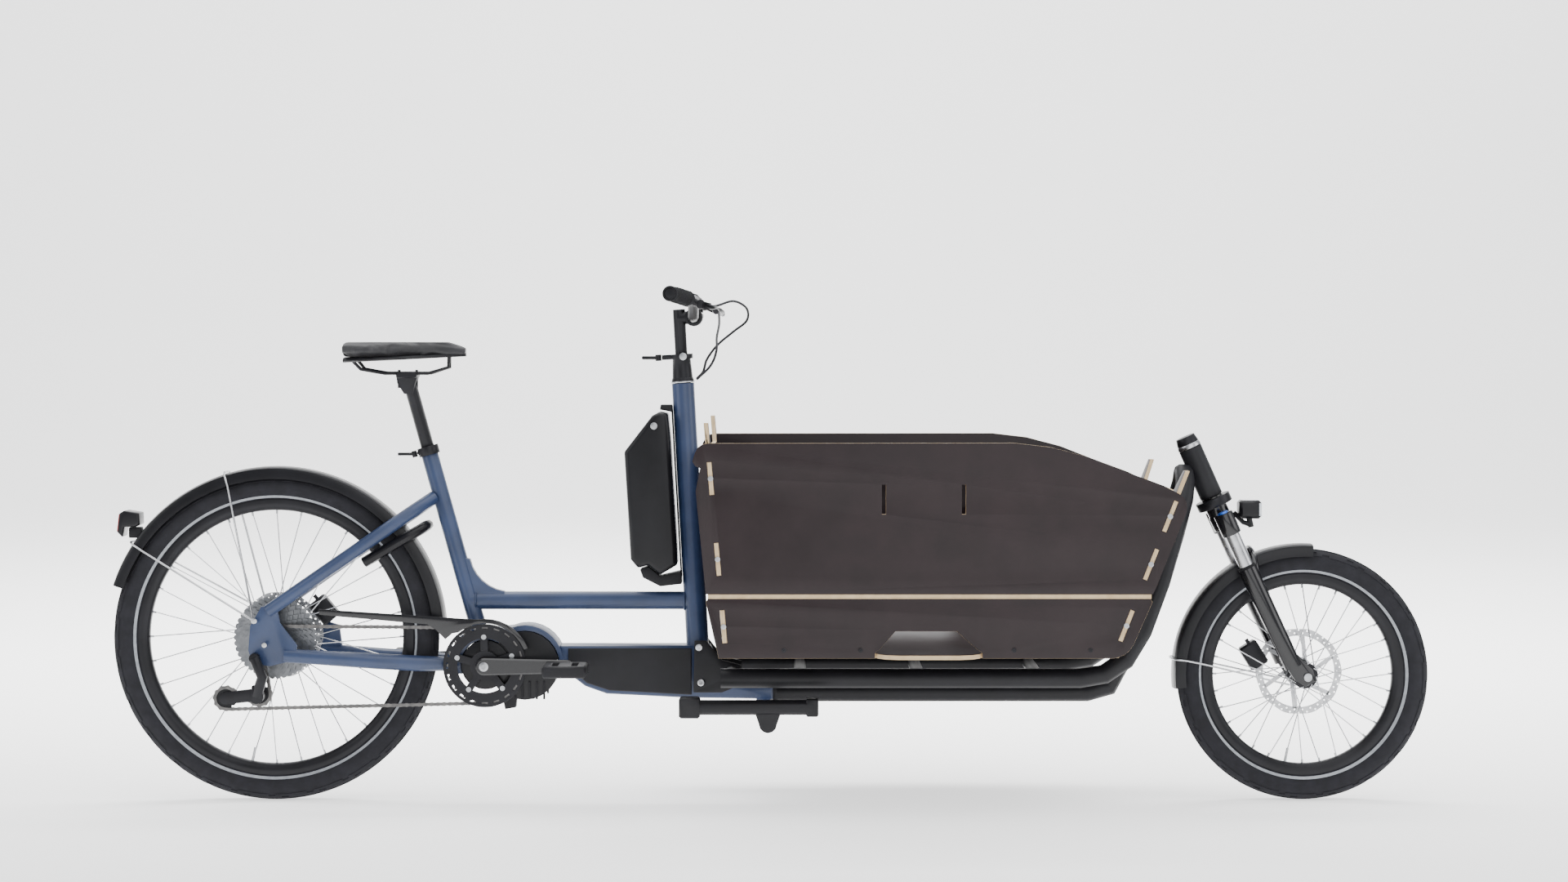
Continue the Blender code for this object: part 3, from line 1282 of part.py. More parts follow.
def grip(s):
    start, stop = bar_point(s * (GRIP_START_Y + 0.002)), bar_point(s * BAR_HALF_WIDTH)
    middle = between(start, stop, 0.55)
    outer = sweep([start, middle, stop], GRIP_R, radii=[0.94, 1.06, 0.98])
    bore_end = bar_point(s * (BAR_HALF_WIDTH - 0.002)) + (stop - start) * 0.004
    bore = cylinder(start - (stop - start) * 0.1, bore_end, BAR_R + GAP, 16)
    return cut(outer, bore)


def lever_pivot(s):
    return bar_point(s * (GRIP_START_Y - 0.020)) + Vector((0.040, s * 0.030, -0.016))


def brake_lever(s):
    """A two-finger blade that runs outwards in front of the grip."""
    pivot = lever_pivot(s)
    hub_part = cylinder(pivot - Vector((0.001, 0, 0.007)), pivot + Vector((0.001, 0, 0.007)),
                        0.0075, 12)
    route = [
        pivot, pivot + Vector((0.016, s * 0.020, -0.004)), pivot + Vector((0.021, s * 0.050, -0.008)),
        pivot + Vector((0.016, s * 0.085, -0.011)), pivot + Vector((0.020, s * 0.100, -0.012)),
    ]
    return union(hub_part, sweep(route, 0.0048, 2, radii=[1.2, 1.0, 0.95, 0.9, 1.15]))


def hose(route):
    return sweep(smooth_path(route, 3), HOSE_R, 2)


node("rear_fender", rear_fender(), PLASTIC)
node("rear_fender_stays", rear_stays(), STEEL)
node("tail_light", tail_light(), LENS)
node("ring_lock", ring_lock(), PLASTIC)
node("stem_sleeve", stem_sleeve(), ALLOY, side(COLUMN_TOP, 0))
node("stem_lever", stem_lever(), ALLOY, on_column(0.055, STEM_LEVER_BEHIND))
node("stem_tube", stem_tube(), ALLOY)
node("handlebar", handlebar(), ALLOY)
for name, sign in SIDES.items():
    node(f"grip_{name}", grip(sign), GRIP_RUBBER)
    node(f"brake_lever_{name}", brake_lever(sign), ALLOY, lever_pivot(sign))


HOSE_ROUTES = {
    "right": [
        (-0.1290, -0.1395, 1.0135), (-0.110, -0.105, 1.014), (-0.076, -0.060, 1.024),
        (-0.050, -0.015, 1.010), (-0.050, 0.020, 0.985), (-0.078, 0.036, 0.962),
        (-0.110, 0.028, 0.935), (-0.132, 0.014, 0.905), (-0.1395, 0.006, 0.880),
        (-0.1525, 0.005, 0.8655),
    ],
    "left": [
        (-0.1290, 0.1395, 1.0135), (-0.112, 0.112, 1.006), (-0.108, 0.070, 0.980),
        (-0.112, 0.025, 0.950), (-0.112, -0.010, 0.922), (-0.124, -0.016, 0.892),
        (-0.1525, -0.005, 0.8640),
    ],
}
for name, route in HOSE_ROUTES.items():
    node(f"hose_{name}", hose(route), RUBBER)


# Seat ------------------------------------------------------------------------------------------
def on_seat(along, ahead=0.0, y=0.0):
    """A point along the seat tube's axis from its top, ahead of it and to the side."""
    across = Vector((SEAT_AXIS.z, 0, -SEAT_AXIS.x))
    return Vector(side(SEAT_TUBE_TOP, 0)) + SEAT_AXIS * along + across * ahead + Vector((0, y, 0))


SEAT_LEVER_PIVOT = on_seat(-0.004, -0.030)
CLAMP_CENTRE = (SEAT_TUBE_TOP[0] - (SEATPOST_HEAD_Z - SEAT_TUBE_TOP[1]) * 0.283, SEATPOST_HEAD_Z)


def seat_clamp():
    """The collar round the top of the seat tube, with the lug that its lever pulls on."""
    low, high = on_seat(-0.014), on_seat(0.004)
    collar = cylinder(low, high, SEAT_TUBE_R + 0.0045, 16)
    lug = cylinder(on_seat(-0.004, -0.019, -0.009), on_seat(-0.004, -0.019, 0.009), 0.0045, 8)
    bores = [
        cylinder(on_seat(-0.03), on_seat(0.0 + GAP), SEAT_TUBE_R + GAP, 16),
        cylinder(on_seat(-0.03), on_seat(0.03), SEATPOST_R + RUNNING_GAP, 16),
    ]
    return cut(union(collar, lug), *bores)


def seat_lever():
    """The quick-release lever of the seat collar: a cam on its hinge and a blade to the rear."""
    cam = cylinder(
        SEAT_LEVER_PIVOT - SEAT_AXIS * CAM_HALF_HEIGHT,
        SEAT_LEVER_PIVOT + SEAT_AXIS * CAM_HALF_HEIGHT, 0.0055, 12,
    )
    blade = block((-0.034, -0.006, -0.003), (0.0, 0.006, 0.003), 0.0012)
    blade.transform(Matrix.Translation(SEAT_LEVER_PIVOT))
    return union(cam, blade)


def seatpost():
    """The post with its head: a cradle under the rails, a top clamp and two bolts."""
    post = cylinder(on_seat(-SEATPOST_INSERTION), on_seat(0.140), SEATPOST_R, 16)
    x, z = CLAMP_CENTRE
    head = plate([(x - 0.022, z + 0.002), (x + 0.022, z + 0.002), (x + 0.016, z - 0.014),
                  (x + 0.012, z - 0.034), (x - 0.006, z - 0.034), (x - 0.020, z - 0.012)],
                 -0.016, 0.016)
    cradle = block((x - 0.021, -0.030, z - 0.001), (x + 0.021, 0.030, z + 0.012), 0.002)
    bolts = [cylinder((x + end, 0, z - 0.022), (x + end, 0, z + 0.0155), 0.003, 8)
             for end in (-0.018, 0.018)]
    rails = [
        cylinder((x - 0.05, s * RAIL_SPACING / 2, z + 0.0085),
                 (x + 0.05, s * RAIL_SPACING / 2, z + 0.0085), SADDLE_RAIL_R + GAP, 12)
        for s in (-1, 1)
    ]
    return cut(union(post, head, cradle, *bolts), *rails)


def saddle_half_width(share):
    """Half the saddle's width at a share of its length from the rear."""
    if share < 0.25:
        return SADDLE_HALF_WIDTH * (0.80 + 0.20 * sin(share / 0.25 * pi / 2))
    fall = (share - 0.25) / 0.75
    waist = (0.5 + 0.5 * cos(pi * min(fall / 0.72, 1))) ** 1.15
    return SADDLE_NOSE_HALF + (SADDLE_HALF_WIDTH - SADDLE_NOSE_HALF) * waist


def saddle_loft(bottom, top, inset, stations=8):
    """A crowned body through cross sections from the saddle's rear to its nose."""
    bm = bmesh.new()
    rings = []
    for i in range(stations + 1):
        share = i / stations
        taper = 0.84 if i in (0, stations) else 1.0
        half = (saddle_half_width(share) - inset) * taper
        x = SADDLE_REAR_X + inset + (SADDLE_NOSE_X - SADDLE_REAR_X - 2 * inset) * share
        low, high = bottom(share), top(share)
        rise = high - low
        outline = [
            (-half * 0.86, low), (half * 0.86, low), (half, low + rise * 0.35),
            (half * 0.88, low + rise * 0.78), (half * 0.45, high), (-half * 0.45, high),
            (-half * 0.88, low + rise * 0.78), (-half, low + rise * 0.35),
        ]
        rings.append([bm.verts.new((x, y, z)) for y, z in outline])
    for a, b in zip(rings, rings[1:]):
        for i in range(len(a)):
            bm.faces.new((a[i - 1], a[i], b[i], b[i - 1]))
    bm.faces.new(rings[0])
    bm.faces.new(rings[-1])
    return mesh_from(bm)


def pad_bottom(share):
    return 0.9100 + 0.0085 * share


def saddle_pad():
    return saddle_loft(pad_bottom, lambda share: SADDLE_TOP_Z - 0.005 * share**3, 0.0)


def saddle_frame():
    """The moulded base under the pad with the two rails, joined at the nose."""
    base = saddle_loft(
        lambda share: 0.8985 + 0.0125 * share, lambda share: pad_bottom(share) - GAP, 0.006, 6
    )
    x, z = CLAMP_CENTRE
    rail_z = z + 0.0085
    half = [
        (SADDLE_REAR_X + 0.022, 0.040, 0.9050), (SADDLE_REAR_X + 0.040, 0.030, 0.885),
        (x - 0.045, RAIL_SPACING / 2, rail_z), (x + 0.045, RAIL_SPACING / 2, rail_z),
        (x + 0.085, 0.014, 0.889), (SADDLE_NOSE_X - 0.040, 0.007, 0.9125),
    ]
    wires = [sweep([(px, s * y, pz) for px, y, pz in half], SADDLE_RAIL_R, 2) for s in (-1, 1)]
    return union(base, *wires)


node("seat_clamp", seat_clamp(), ALLOY)
node("seat_lever", seat_lever(), ALLOY, SEAT_LEVER_PIVOT)
node("seatpost", seatpost(), ALLOY)
node("saddle_frame", saddle_frame(), PLASTIC)
node("saddle_pad", saddle_pad(), PADDING)


# Battery -----------------------------------------------------------------------------------------
def battery():
    outline = [
        (-0.300, 0.716), (-0.243, 0.790), (-0.228, 0.798), (-0.2110, 0.794), (-0.2065, 0.750),
        (-0.1920, 0.516), (-0.1910, 0.4850), (-0.2265, 0.4640), (-0.251, 0.484),
        (-0.272, 0.478), (-0.287, 0.496),
    ]
    moved = [(x - BATTERY_BACK, z) for x, z in outline]
    return plate(moved, -BATTERY_HALF_WIDTH, BATTERY_HALF_WIDTH, bevel=0.006)


def battery_rail():
    """The rail up the back of the column, with a shelf below the battery and a lock above."""
    def behind(z, distance):
        return (column_point(z)[0] - COLUMN_R - distance, z)

    spine = plate(
        [behind(0.810, 0.0008), behind(0.458, 0.0008), behind(0.458, 0.0038), behind(0.810, 0.0038)],
        -0.012, 0.012,
    )
    shelf = plate(
        [behind(0.470, 0.002), behind(0.445, 0.002),
         *[(x - BATTERY_BACK, z) for x, z in
           ((-0.2265, 0.440), (-0.262, 0.458), (-0.268, 0.474), (-0.251, 0.4800), (-0.2265, 0.4600))]],
        -0.030, 0.030,
    )
    lock = plate(
        [behind(0.812, 0.002), behind(0.797, 0.002),
         *[(x - BATTERY_BACK, z) for x, z in
           ((-0.2120, 0.7990), (-0.2280, 0.8020), (-0.2260, 0.8120))]], -0.022, 0.022, bevel=0.002,
    )
    return union(spine, shelf, lock)


node("battery", battery(), PLASTIC, side(BATTERY_PIVOT, 0))
node("battery_rail", battery_rail(), PLASTIC)


# Fork ------------------------------------------------------------------------------------------
def fork_upper():
    """The steerer in the head tube, cable pulley, crown and stanchions, which all steer."""
    top = HEAD_TUBE_SPAN[1]
    steerer = cylinder(on_steerer(-0.012), on_steerer(top + 0.020), STEERER_R, 16)
    cap = cylinder(on_steerer(top + 0.0012), on_steerer(top + 0.026), 0.0250, 16, 0.020)
    pulley = cylinder(on_steerer(0.030), on_steerer(0.048), 0.037, 24)
    race = cylinder(on_steerer(0.0), on_steerer(HEAD_TUBE_SPAN[0] - 0.0012), 0.0225, 16)
    crown = cylinder(on_steerer(-0.020), on_steerer(0.012), 0.0235, 16)
    shoulders = cylinder(
        on_steerer(-0.006, 0.0, -STANCHION_Y), on_steerer(-0.006, 0.0, STANCHION_Y), 0.0165, 12
    )
    legs = []
    for s in (-1, 1):
        y = s * STANCHION_Y
        legs.append(cylinder(on_steerer(0.014, 0, y), on_steerer(-0.215, 0, y), STANCHION_R, 16))
        legs.append(cylinder(on_steerer(0.020, 0, y), on_steerer(-0.030, 0, y), 0.0200, 14))
    return union(steerer, cap, pulley, race, crown, shoulders, *legs)


FORK_AXLE_DOWN = (FRONT_AXLE[0] - CROWN.x) * STEER_AXIS.x + (FRONT_AXLE[1] - CROWN.z) * STEER_AXIS.z
FORK_RAKE = (FRONT_AXLE[0] - CROWN.x) * STEER_AHEAD.x + (FRONT_AXLE[1] - CROWN.z) * STEER_AHEAD.z


def fork_lowers():
    """The two sliding legs with their arch and dropouts."""
    pieces = []
    bores = []
    for s in (-1, 1):
        y = s * STANCHION_Y
        top, foot = on_steerer(-FORK_SEAL, 0, y), on_steerer(FORK_AXLE_DOWN + 0.030, 0.004, y)
        pieces.append(cylinder(foot, top, LOWER_R - 0.0015, 16, LOWER_R))
        dropout_y = sorted((s * FRONT_DROPOUT_SPACING / 2, s * (FRONT_DROPOUT_SPACING / 2 + 0.014)))
        lug = [
            on_steerer(FORK_AXLE_DOWN + 0.055, -0.012, 0), on_steerer(FORK_AXLE_DOWN + 0.055, 0.020, 0),
            on_steerer(FORK_AXLE_DOWN + 0.010, FORK_RAKE + 0.016, 0),
            on_steerer(FORK_AXLE_DOWN - 0.014, FORK_RAKE + 0.012, 0),
            on_steerer(FORK_AXLE_DOWN - 0.016, FORK_RAKE - 0.012, 0),
            on_steerer(FORK_AXLE_DOWN + 0.004, FORK_RAKE - 0.026, 0),
        ]
        pieces.append(plate([(p.x, p.z) for p in lug], *dropout_y, bevel=0.002))
        bores.append(
            cylinder(on_steerer(-0.280, 0, y), on_steerer(-0.05, 0, y), STANCHION_R + RUNNING_GAP, 16)
        )
    arch_route = []
    for step in range(9):
        a = radians(180 - 22.5 * step)
        lift = -FORK_SEAL - 0.020 + 0.0465 * sin(a)
        arch_route.append(on_steerer(lift, 0.012 + 0.014 * sin(a), STANCHION_Y * cos(a)))
    pieces.append(sweep(arch_route, 0.008, 2))
    return cut(union(*pieces), *bores)


def front_fender():
    """The front fender with the bolt block under the fork's arch and its wire stay."""
    shell = arch(fender_section(FRONT_FENDER_R), FRONT_AXLE, 86, 186, 13)
    anchor = (FRONT_AXLE[0] - 0.036, FRONT_AXLE[1] - 0.016)
    anchor_y = FRONT_DROPOUT_SPACING / 2 + 0.007
    hoop = stay_hoop(anchor, anchor_y, FRONT_AXLE, FRONT_FENDER_R - 0.0022, 173)
    return union(shell, hoop)


FRONT_CALIPER = (FRONT_X - 0.0935, 0.292)
node("fork_upper", fork_upper(), ALLOY, CROWN)
node("headlight", headlight(), PLASTIC)
node("fork_lowers", fork_lowers(), ALLOY)
node("front_fender", front_fender(), PLASTIC)
node("front_caliper", caliper(FRONT_CALIPER, -32, FRONT_AXLE), ALLOY)


# Kickstand -----------------------------------------------------------------------------------------
def kickstand():
    """Two legs folded to the rear, joined by the axle tube under the keel."""
    x, z = STAND_PIVOT
    y = STAND_LEG_Y
    axle = cylinder((x, -y, z), (x, y, z), STAND_AXLE_R, 16)
    pieces = [axle]
    for s in (-1, 1):
        front_x = 0.085 if s < 0 else x + 0.020
        pieces.append(
            cylinder((STAND_FOOT[0] + 0.010, s * y, STAND_FOOT[1]), (front_x, s * y, STAND_FOOT[1]),
                     STAND_LEG_R, 12)
        )
        web = sorted((s * (y - 0.006), s * (y + 0.006)))
        outline = [*arc_points(STAND_PIVOT, 0.018, 180, 360, 6), (x + 0.030, z + 0.034),
                   (x - 0.030, z + 0.034)]
        pieces.append(plate(outline, *web))
        pieces.append(
            block((STAND_FOOT[0] - 0.021, s * y - 0.018, STAND_FOOT[1] - 0.0205),
                  (STAND_FOOT[0] + 0.021, s * y + 0.018, STAND_FOOT[1] + 0.0205), 0.004)
        )
    pieces.append(block((0.071, -y - 0.013, 0.196), (0.0955, -y + 0.013, 0.232), 0.003))
    return union(*pieces)


node("kickstand", kickstand(), BLACK, side(STAND_PIVOT, 0))
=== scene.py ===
# %% [markdown]
# # Dressing a cargo bicycle
# The bicycle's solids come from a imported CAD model. They are exact but plain: tubes have few
# sides, tyres are rings and the saddle is a block. This lesson keeps every place and size and
# gives each piece the surface that the real one has. Nothing here moves a CAD piece.

import json
import math

import bpy
from mathutils import Matrix, Vector


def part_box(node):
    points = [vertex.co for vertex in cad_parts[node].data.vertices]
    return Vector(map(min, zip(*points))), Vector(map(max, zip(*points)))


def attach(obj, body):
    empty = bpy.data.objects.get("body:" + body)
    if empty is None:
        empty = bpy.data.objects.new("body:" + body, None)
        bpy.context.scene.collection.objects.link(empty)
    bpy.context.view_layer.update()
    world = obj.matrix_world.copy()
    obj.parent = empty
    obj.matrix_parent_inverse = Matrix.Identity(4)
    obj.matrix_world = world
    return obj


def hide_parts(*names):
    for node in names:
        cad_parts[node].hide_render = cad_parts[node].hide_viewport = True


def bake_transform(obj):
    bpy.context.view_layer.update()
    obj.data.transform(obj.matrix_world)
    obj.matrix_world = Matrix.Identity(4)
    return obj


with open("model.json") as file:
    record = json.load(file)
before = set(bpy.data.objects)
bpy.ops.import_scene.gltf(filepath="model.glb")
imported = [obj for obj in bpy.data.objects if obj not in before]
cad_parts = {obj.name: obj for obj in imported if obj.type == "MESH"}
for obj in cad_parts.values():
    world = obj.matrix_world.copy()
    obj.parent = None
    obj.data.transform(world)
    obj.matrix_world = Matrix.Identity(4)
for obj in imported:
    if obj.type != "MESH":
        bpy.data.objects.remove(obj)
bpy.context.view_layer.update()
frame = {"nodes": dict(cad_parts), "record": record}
nodes = frame["nodes"]

# %% [markdown]
# ## Camera, floor and light
# The bicycle is seen square from its right-hand side, from about six metres away, with the lens
# level a little under the height of the bar. The lens is shifted down instead of tilted, so that
# the wheels stay round. The floor is a sheet of pale paper, a plane whose back edge is extruded
# upwards and whose corner is bevelled into a wide bend, so no line shows behind the bicycle. One
# big soft light hangs above, with weaker ones in front and at each side, and one lights the paper.

# %% Camera
bpy.ops.object.select_all(action="DESELECT")
CAMERA_PLACE = (0.027, -6.0, 0.95)
bpy.ops.object.camera_add(location=CAMERA_PLACE, rotation=(math.pi / 2, 0, 0))
camera = bpy.context.active_object
camera.data.lens = 66.9
camera.data.shift_y = -0.066
bpy.context.scene.camera = camera
print("camera", camera.data.lens, "mm")

# %% Floor and lights
FLOOR_HALF = 14.0
PAPER_HEIGHT = 9.0
PAPER_BEND = 4.0
FLOOR_DROP = 0.0006  # the tyres rest on the floor without sharing a surface with it
bpy.ops.mesh.primitive_plane_add(size=2 * FLOOR_HALF, location=(0, 0, -FLOOR_DROP))
floor = bpy.context.active_object
floor.name = "studio_floor"
bpy.ops.object.mode_set(mode="EDIT")
bpy.ops.mesh.select_all(action="DESELECT")
bpy.ops.object.mode_set(mode="OBJECT")
for edge in floor.data.edges:
    edge.select = all(floor.data.vertices[v].co.y > 0 for v in edge.vertices)
bpy.ops.object.mode_set(mode="EDIT")
bpy.ops.mesh.select_mode(type="EDGE")
bpy.ops.mesh.extrude_region_move(TRANSFORM_OT_translate={"value": (0, 0, PAPER_HEIGHT)})
bpy.ops.object.mode_set(mode="OBJECT")
bend = floor.modifiers.new("bend", "BEVEL")
bend.width = PAPER_BEND
bend.segments = 12
bend.limit_method = "ANGLE"
bpy.ops.object.modifier_apply(modifier="bend")
bpy.ops.object.shade_smooth()


def soft_light(name, place, aim, size, watts):
    """A square area light at a place, turned towards a point."""
    bpy.ops.object.light_add(type="AREA", location=place)
    light = bpy.context.active_object
    light.name = name
    light.data.size = size
    light.data.energy = watts
    towards = Vector(aim) - Vector(place)
    light.rotation_euler = towards.to_track_quat("-Z", "Y").to_euler()


AIM = (0, 0, 0.4)
soft_light("top_light", (0.3, -0.6, 4.2), AIM, 5.0, 200)
soft_light("front_light", (1.5, -5.5, 2.6), AIM, 4.0, 95)
soft_light("left_light", (-5.0, -2.5, 2.4), AIM, 3.0, 70)
soft_light("right_light", (5.0, -1.5, 2.2), AIM, 3.0, 70)
soft_light("paper_light", (0.0, 2.6, 5.0), (0, 8.0, 1.0), 6.0, 1500)
world = bpy.context.scene.world or bpy.data.worlds.new("studio_air")
bpy.context.scene.world = world
world.use_nodes = True
world.node_tree.nodes["Background"].inputs["Color"].default_value = (0.93, 0.95, 1.0, 1)
world.node_tree.nodes["Background"].inputs["Strength"].default_value = 0.50

# %% [markdown]
# ## How a finish is made
# A colour is written as the hex value that a paint chart would give, and one function turns it to
# linear light. Every real surface is uneven at two scales: a fine grain that breaks up the shine,
# and broad patches where the colour and the gloss drift a little. One helper adds a node with its
# settings and links, and `finish` uses it to build both scales from sizes in millimetres. An image
# texture could hold the same detail, but noise has no seams and no end. The finer the grain, the
# flatter it looks from six metres, so most grains here are drawn coarser than they are.

# %% Colour, node and finish helpers
MM = 0.001
GRAIN_RELIEF = 0.4  # how deep a grain is, as a share of its width


def linear(hex_colour):
    """An sRGB hex colour as linear red, green, blue and alpha."""
    parts = [int(hex_colour[i : i + 2], 16) / 255 for i in (1, 3, 5)]
    return (*[p / 12.92 if p <= 0.04045 else ((p + 0.055) / 1.055) ** 2.4 for p in parts], 1)


def add(tree, kind, settings=None, links=None):
    """A node in the tree, with its properties or socket values set and its inputs linked."""
    made = tree.nodes.new(kind)
    for key, value in (settings or {}).items():
        if key in made.inputs:
            made.inputs[key].default_value = value
        else:
            setattr(made, key, value)
    for key, output in (links or {}).items():
        tree.links.new(output, made.inputs[key])
    return made


def finish(name, colour, second, roughness, grain_mm, bump, metallic=0.0, patch_mm=60, spread=0.06):
    """A surface whose colour and gloss drift over broad patches, with a fine grain as bump."""
    made = bpy.data.materials.new(name)
    made.use_nodes = True
    tree = made.node_tree
    shader = tree.nodes["Principled BSDF"]
    shader.inputs["Metallic"].default_value = metallic
    made.diffuse_color = linear(colour)
    place = add(tree, "ShaderNodeTexCoord")
    patches = add(tree, "ShaderNodeTexNoise", {"Scale": 1 / (patch_mm * MM), "Detail": 4.0},
                  {"Vector": place.outputs["Object"]})
    grain = add(tree, "ShaderNodeTexNoise", {"Scale": 1 / (grain_mm * MM), "Detail": 2.0},
                {"Vector": place.outputs["Object"]})
    ramp = add(tree, "ShaderNodeValToRGB", None, {"Fac": patches.outputs["Fac"]})
    ramp.color_ramp.elements[0].position = 0.35
    ramp.color_ramp.elements[0].color = linear(colour)
    ramp.color_ramp.elements[1].position = 0.72
    ramp.color_ramp.elements[1].color = linear(second)
    gloss = add(tree, "ShaderNodeMapRange",
                {"To Min": roughness - spread, "To Max": roughness + spread},
                {"Value": patches.outputs["Fac"]})
    depth = GRAIN_RELIEF * grain_mm * MM
    relief = add(tree, "ShaderNodeBump", {"Strength": bump, "Distance": depth},
                 {"Height": grain.outputs["Fac"]})
    tree.links.new(ramp.outputs["Color"], shader.inputs["Base Color"])
    tree.links.new(gloss.outputs["Result"], shader.inputs["Roughness"])
    tree.links.new(relief.outputs["Normal"], shader.inputs["Normal"])
    return made

# %% Floor paper
# Matt paper that glows a little, so that it stays pale where the lights fall off.
floor_paper = finish("studio_paper", "#f4f4f3", "#f1f1f0", 0.85, 8.0, 0.02, patch_mm=900)
paper_shader = floor_paper.node_tree.nodes["Principled BSDF"]
paper_shader.inputs["Emission Color"].default_value = (1.0, 1.0, 1.0, 1)
paper_shader.inputs["Emission Strength"].default_value = 1.0
floor.data.materials.append(floor_paper)
print("floor", floor_paper.name)

# %% [markdown]
# ## The bicycle's finishes
# Powder coat is a baked plastic paint: it melts into a skin with a slight orange peel a millimetre
# or two across, satin and never mirror-like. Anodised aluminium is dyed under a clear oxide, so it
# stays partly metallic and even. Injection-moulded ABS comes out of an etched mould, with a fine
# matt grain. Rubber hardly shines at all. Stainless and zinc-plated steel are bare metal, so their
# shader is fully metallic, and the chain's is darker because it is oiled. Each line gives the two
# colours that the surface drifts between, its roughness, the width of its grain in millimetres,
# how strong that grain is, and how metallic it is.

# %% Paints, metals, plastics and rubbers
blue_powder = finish("blue_powder_coat", "#22314f", "#2a3b5e", 0.44, 1.4, 0.10)
black_powder = finish("black_powder_coat", "#141417", "#1a1a1e", 0.46, 1.4, 0.12)
gloss_black = finish("gloss_black_paint", "#0d0d10", "#131316", 0.18, 2.0, 0.03)
black_anodised = finish("black_anodised_aluminium", "#19191c", "#202024", 0.38, 0.6, 0.05, 0.55)
moulded_abs = finish("grained_black_abs", "#151518", "#1b1b1f", 0.56, 0.8, 0.28)
smooth_abs = finish("polished_black_abs", "#101013", "#151519", 0.30, 2.5, 0.04)
grip_rubber = finish("grip_rubber", "#141416", "#1c1c20", 0.85, 1.2, 0.45)
tyre_rubber = finish("vulcanised_tyre_rubber", "#1c1c20", "#25252a", 0.85, 1.6, 0.45, patch_mm=25)
hose_jacket = finish("extruded_hose_jacket", "#202024", "#2a2a2f", 0.45, 1.0, 0.10)
chain_steel = finish("oiled_chain_steel", "#5d5c5c", "#7c7a78", 0.36, 0.5, 0.12, 1.0, patch_mm=12)
stainless = finish("stainless_steel", "#b9babd", "#d0d1d3", 0.28, 0.4, 0.08, 1.0, patch_mm=20)
zinc_steel = finish("zinc_plated_steel", "#a3a5a8", "#c2c4c6", 0.34, 0.5, 0.10, 1.0, patch_mm=15)
blue_anodised = finish("blue_anodised_aluminium", "#2f62c9", "#3c74dd", 0.28, 0.6, 0.05, 0.8)
reflex_tape = finish("reflective_stripe", "#8e9298", "#a4a8ad", 0.42, 0.9, 0.12, 0.3, patch_mm=9)
red_lens = finish("red_acrylic_lens", "#a3161b", "#c0222a", 0.12, 3.0, 0.10)
sprocket_steel = finish("nickel_plated_sprocket", "#6c6e71", "#85878a", 0.36, 0.5, 0.10, 1.0,
                        patch_mm=14)
clear_lens = finish("clear_lamp_lens", "#c9ced6", "#e4e8ee", 0.08, 3.0, 0.12)
for coated in (blue_powder, gloss_black):
    coated.node_tree.nodes["Principled BSDF"].inputs["Coat Weight"].default_value = 0.18
    coated.node_tree.nodes["Principled BSDF"].inputs["Coat Roughness"].default_value = 0.12
for dull in (black_powder, moulded_abs, smooth_abs, grip_rubber, tyre_rubber, hose_jacket):
    dull.node_tree.nodes["Principled BSDF"].inputs["Specular IOR Level"].default_value = 0.28
print("finishes", len(bpy.data.materials))

# %% [markdown]
# Film-faced plywood is the board that concrete forms and lorry floors are made of: birch veneers
# about 1.3 mm thick, glued crosswise, under a dark phenolic film. The film shows a faint grain that
# telegraphs through. The sawn edge shows the veneers as pale and darker stripes, so it gets its own
# material: a wave pattern across the board, one wave for every two veneers.

# %% Plywood film
board_film = finish("phenolic_board_film", "#1d1416", "#251b1d", 0.42, 1.1, 0.10, patch_mm=90)
film_tree = board_film.node_tree
film_tree.nodes["Principled BSDF"].inputs["Specular IOR Level"].default_value = 0.30
film_place = add(film_tree, "ShaderNodeTexCoord")
film_stretch = add(film_tree, "ShaderNodeMapping", {"Scale": (3.0, 3.0, 60.0)},
                   {"Vector": film_place.outputs["Object"]})
film_grain = add(film_tree, "ShaderNodeTexNoise", {"Scale": 6.0, "Detail": 6.0},
                 {"Vector": film_stretch.outputs["Vector"]})
film_bump = next(n for n in film_tree.nodes if n.type == "BUMP")
grain_bump = add(film_tree, "ShaderNodeBump", {"Strength": 0.12, "Distance": 0.0005},
                 {"Height": film_grain.outputs["Fac"], "Normal": film_bump.outputs["Normal"]})
film_tree.links.new(grain_bump.outputs["Normal"],
                    film_tree.nodes["Principled BSDF"].inputs["Normal"])

print("film", board_film.name)

# %% Sawn edges
VENEER_MM = 1.3
BANDS_AT_SCALE_1 = 10 / math.pi  # how many bands a wave texture draws in a metre at scale 1


def sawn_edge(name, axis):
    """The veneers seen on a board's edge, striped across its thickness along one axis."""
    made = finish(name, "#cdb792", "#e0cda9", 0.62, 0.9, 0.35, patch_mm=25)
    tree = made.node_tree
    place = add(tree, "ShaderNodeTexCoord")
    scale = 1 / (2 * VENEER_MM * MM) / BANDS_AT_SCALE_1
    veneers = add(tree, "ShaderNodeTexWave",
                  {"bands_direction": axis, "Scale": scale, "Distortion": 0.6, "Detail": 1.0},
                  {"Vector": place.outputs["Object"]})
    tone = next(n for n in tree.nodes if n.type == "VALTORGB")
    darker = add(tree, "ShaderNodeMix", {"data_type": "RGBA", "blend_type": "MULTIPLY"})
    darker.inputs["Factor"].default_value = 0.55
    stripe = add(tree, "ShaderNodeValToRGB", None, {"Fac": veneers.outputs["Fac"]})
    stripe.color_ramp.elements[0].color = linear("#8d7350")
    stripe.color_ramp.elements[1].color = linear("#fff6e4")
    tree.links.new(tone.outputs["Color"], darker.inputs["A"])
    tree.links.new(stripe.outputs["Color"], darker.inputs["B"])
    tree.links.new(darker.outputs["Result"],
                   tree.nodes["Principled BSDF"].inputs["Base Color"])
    return made


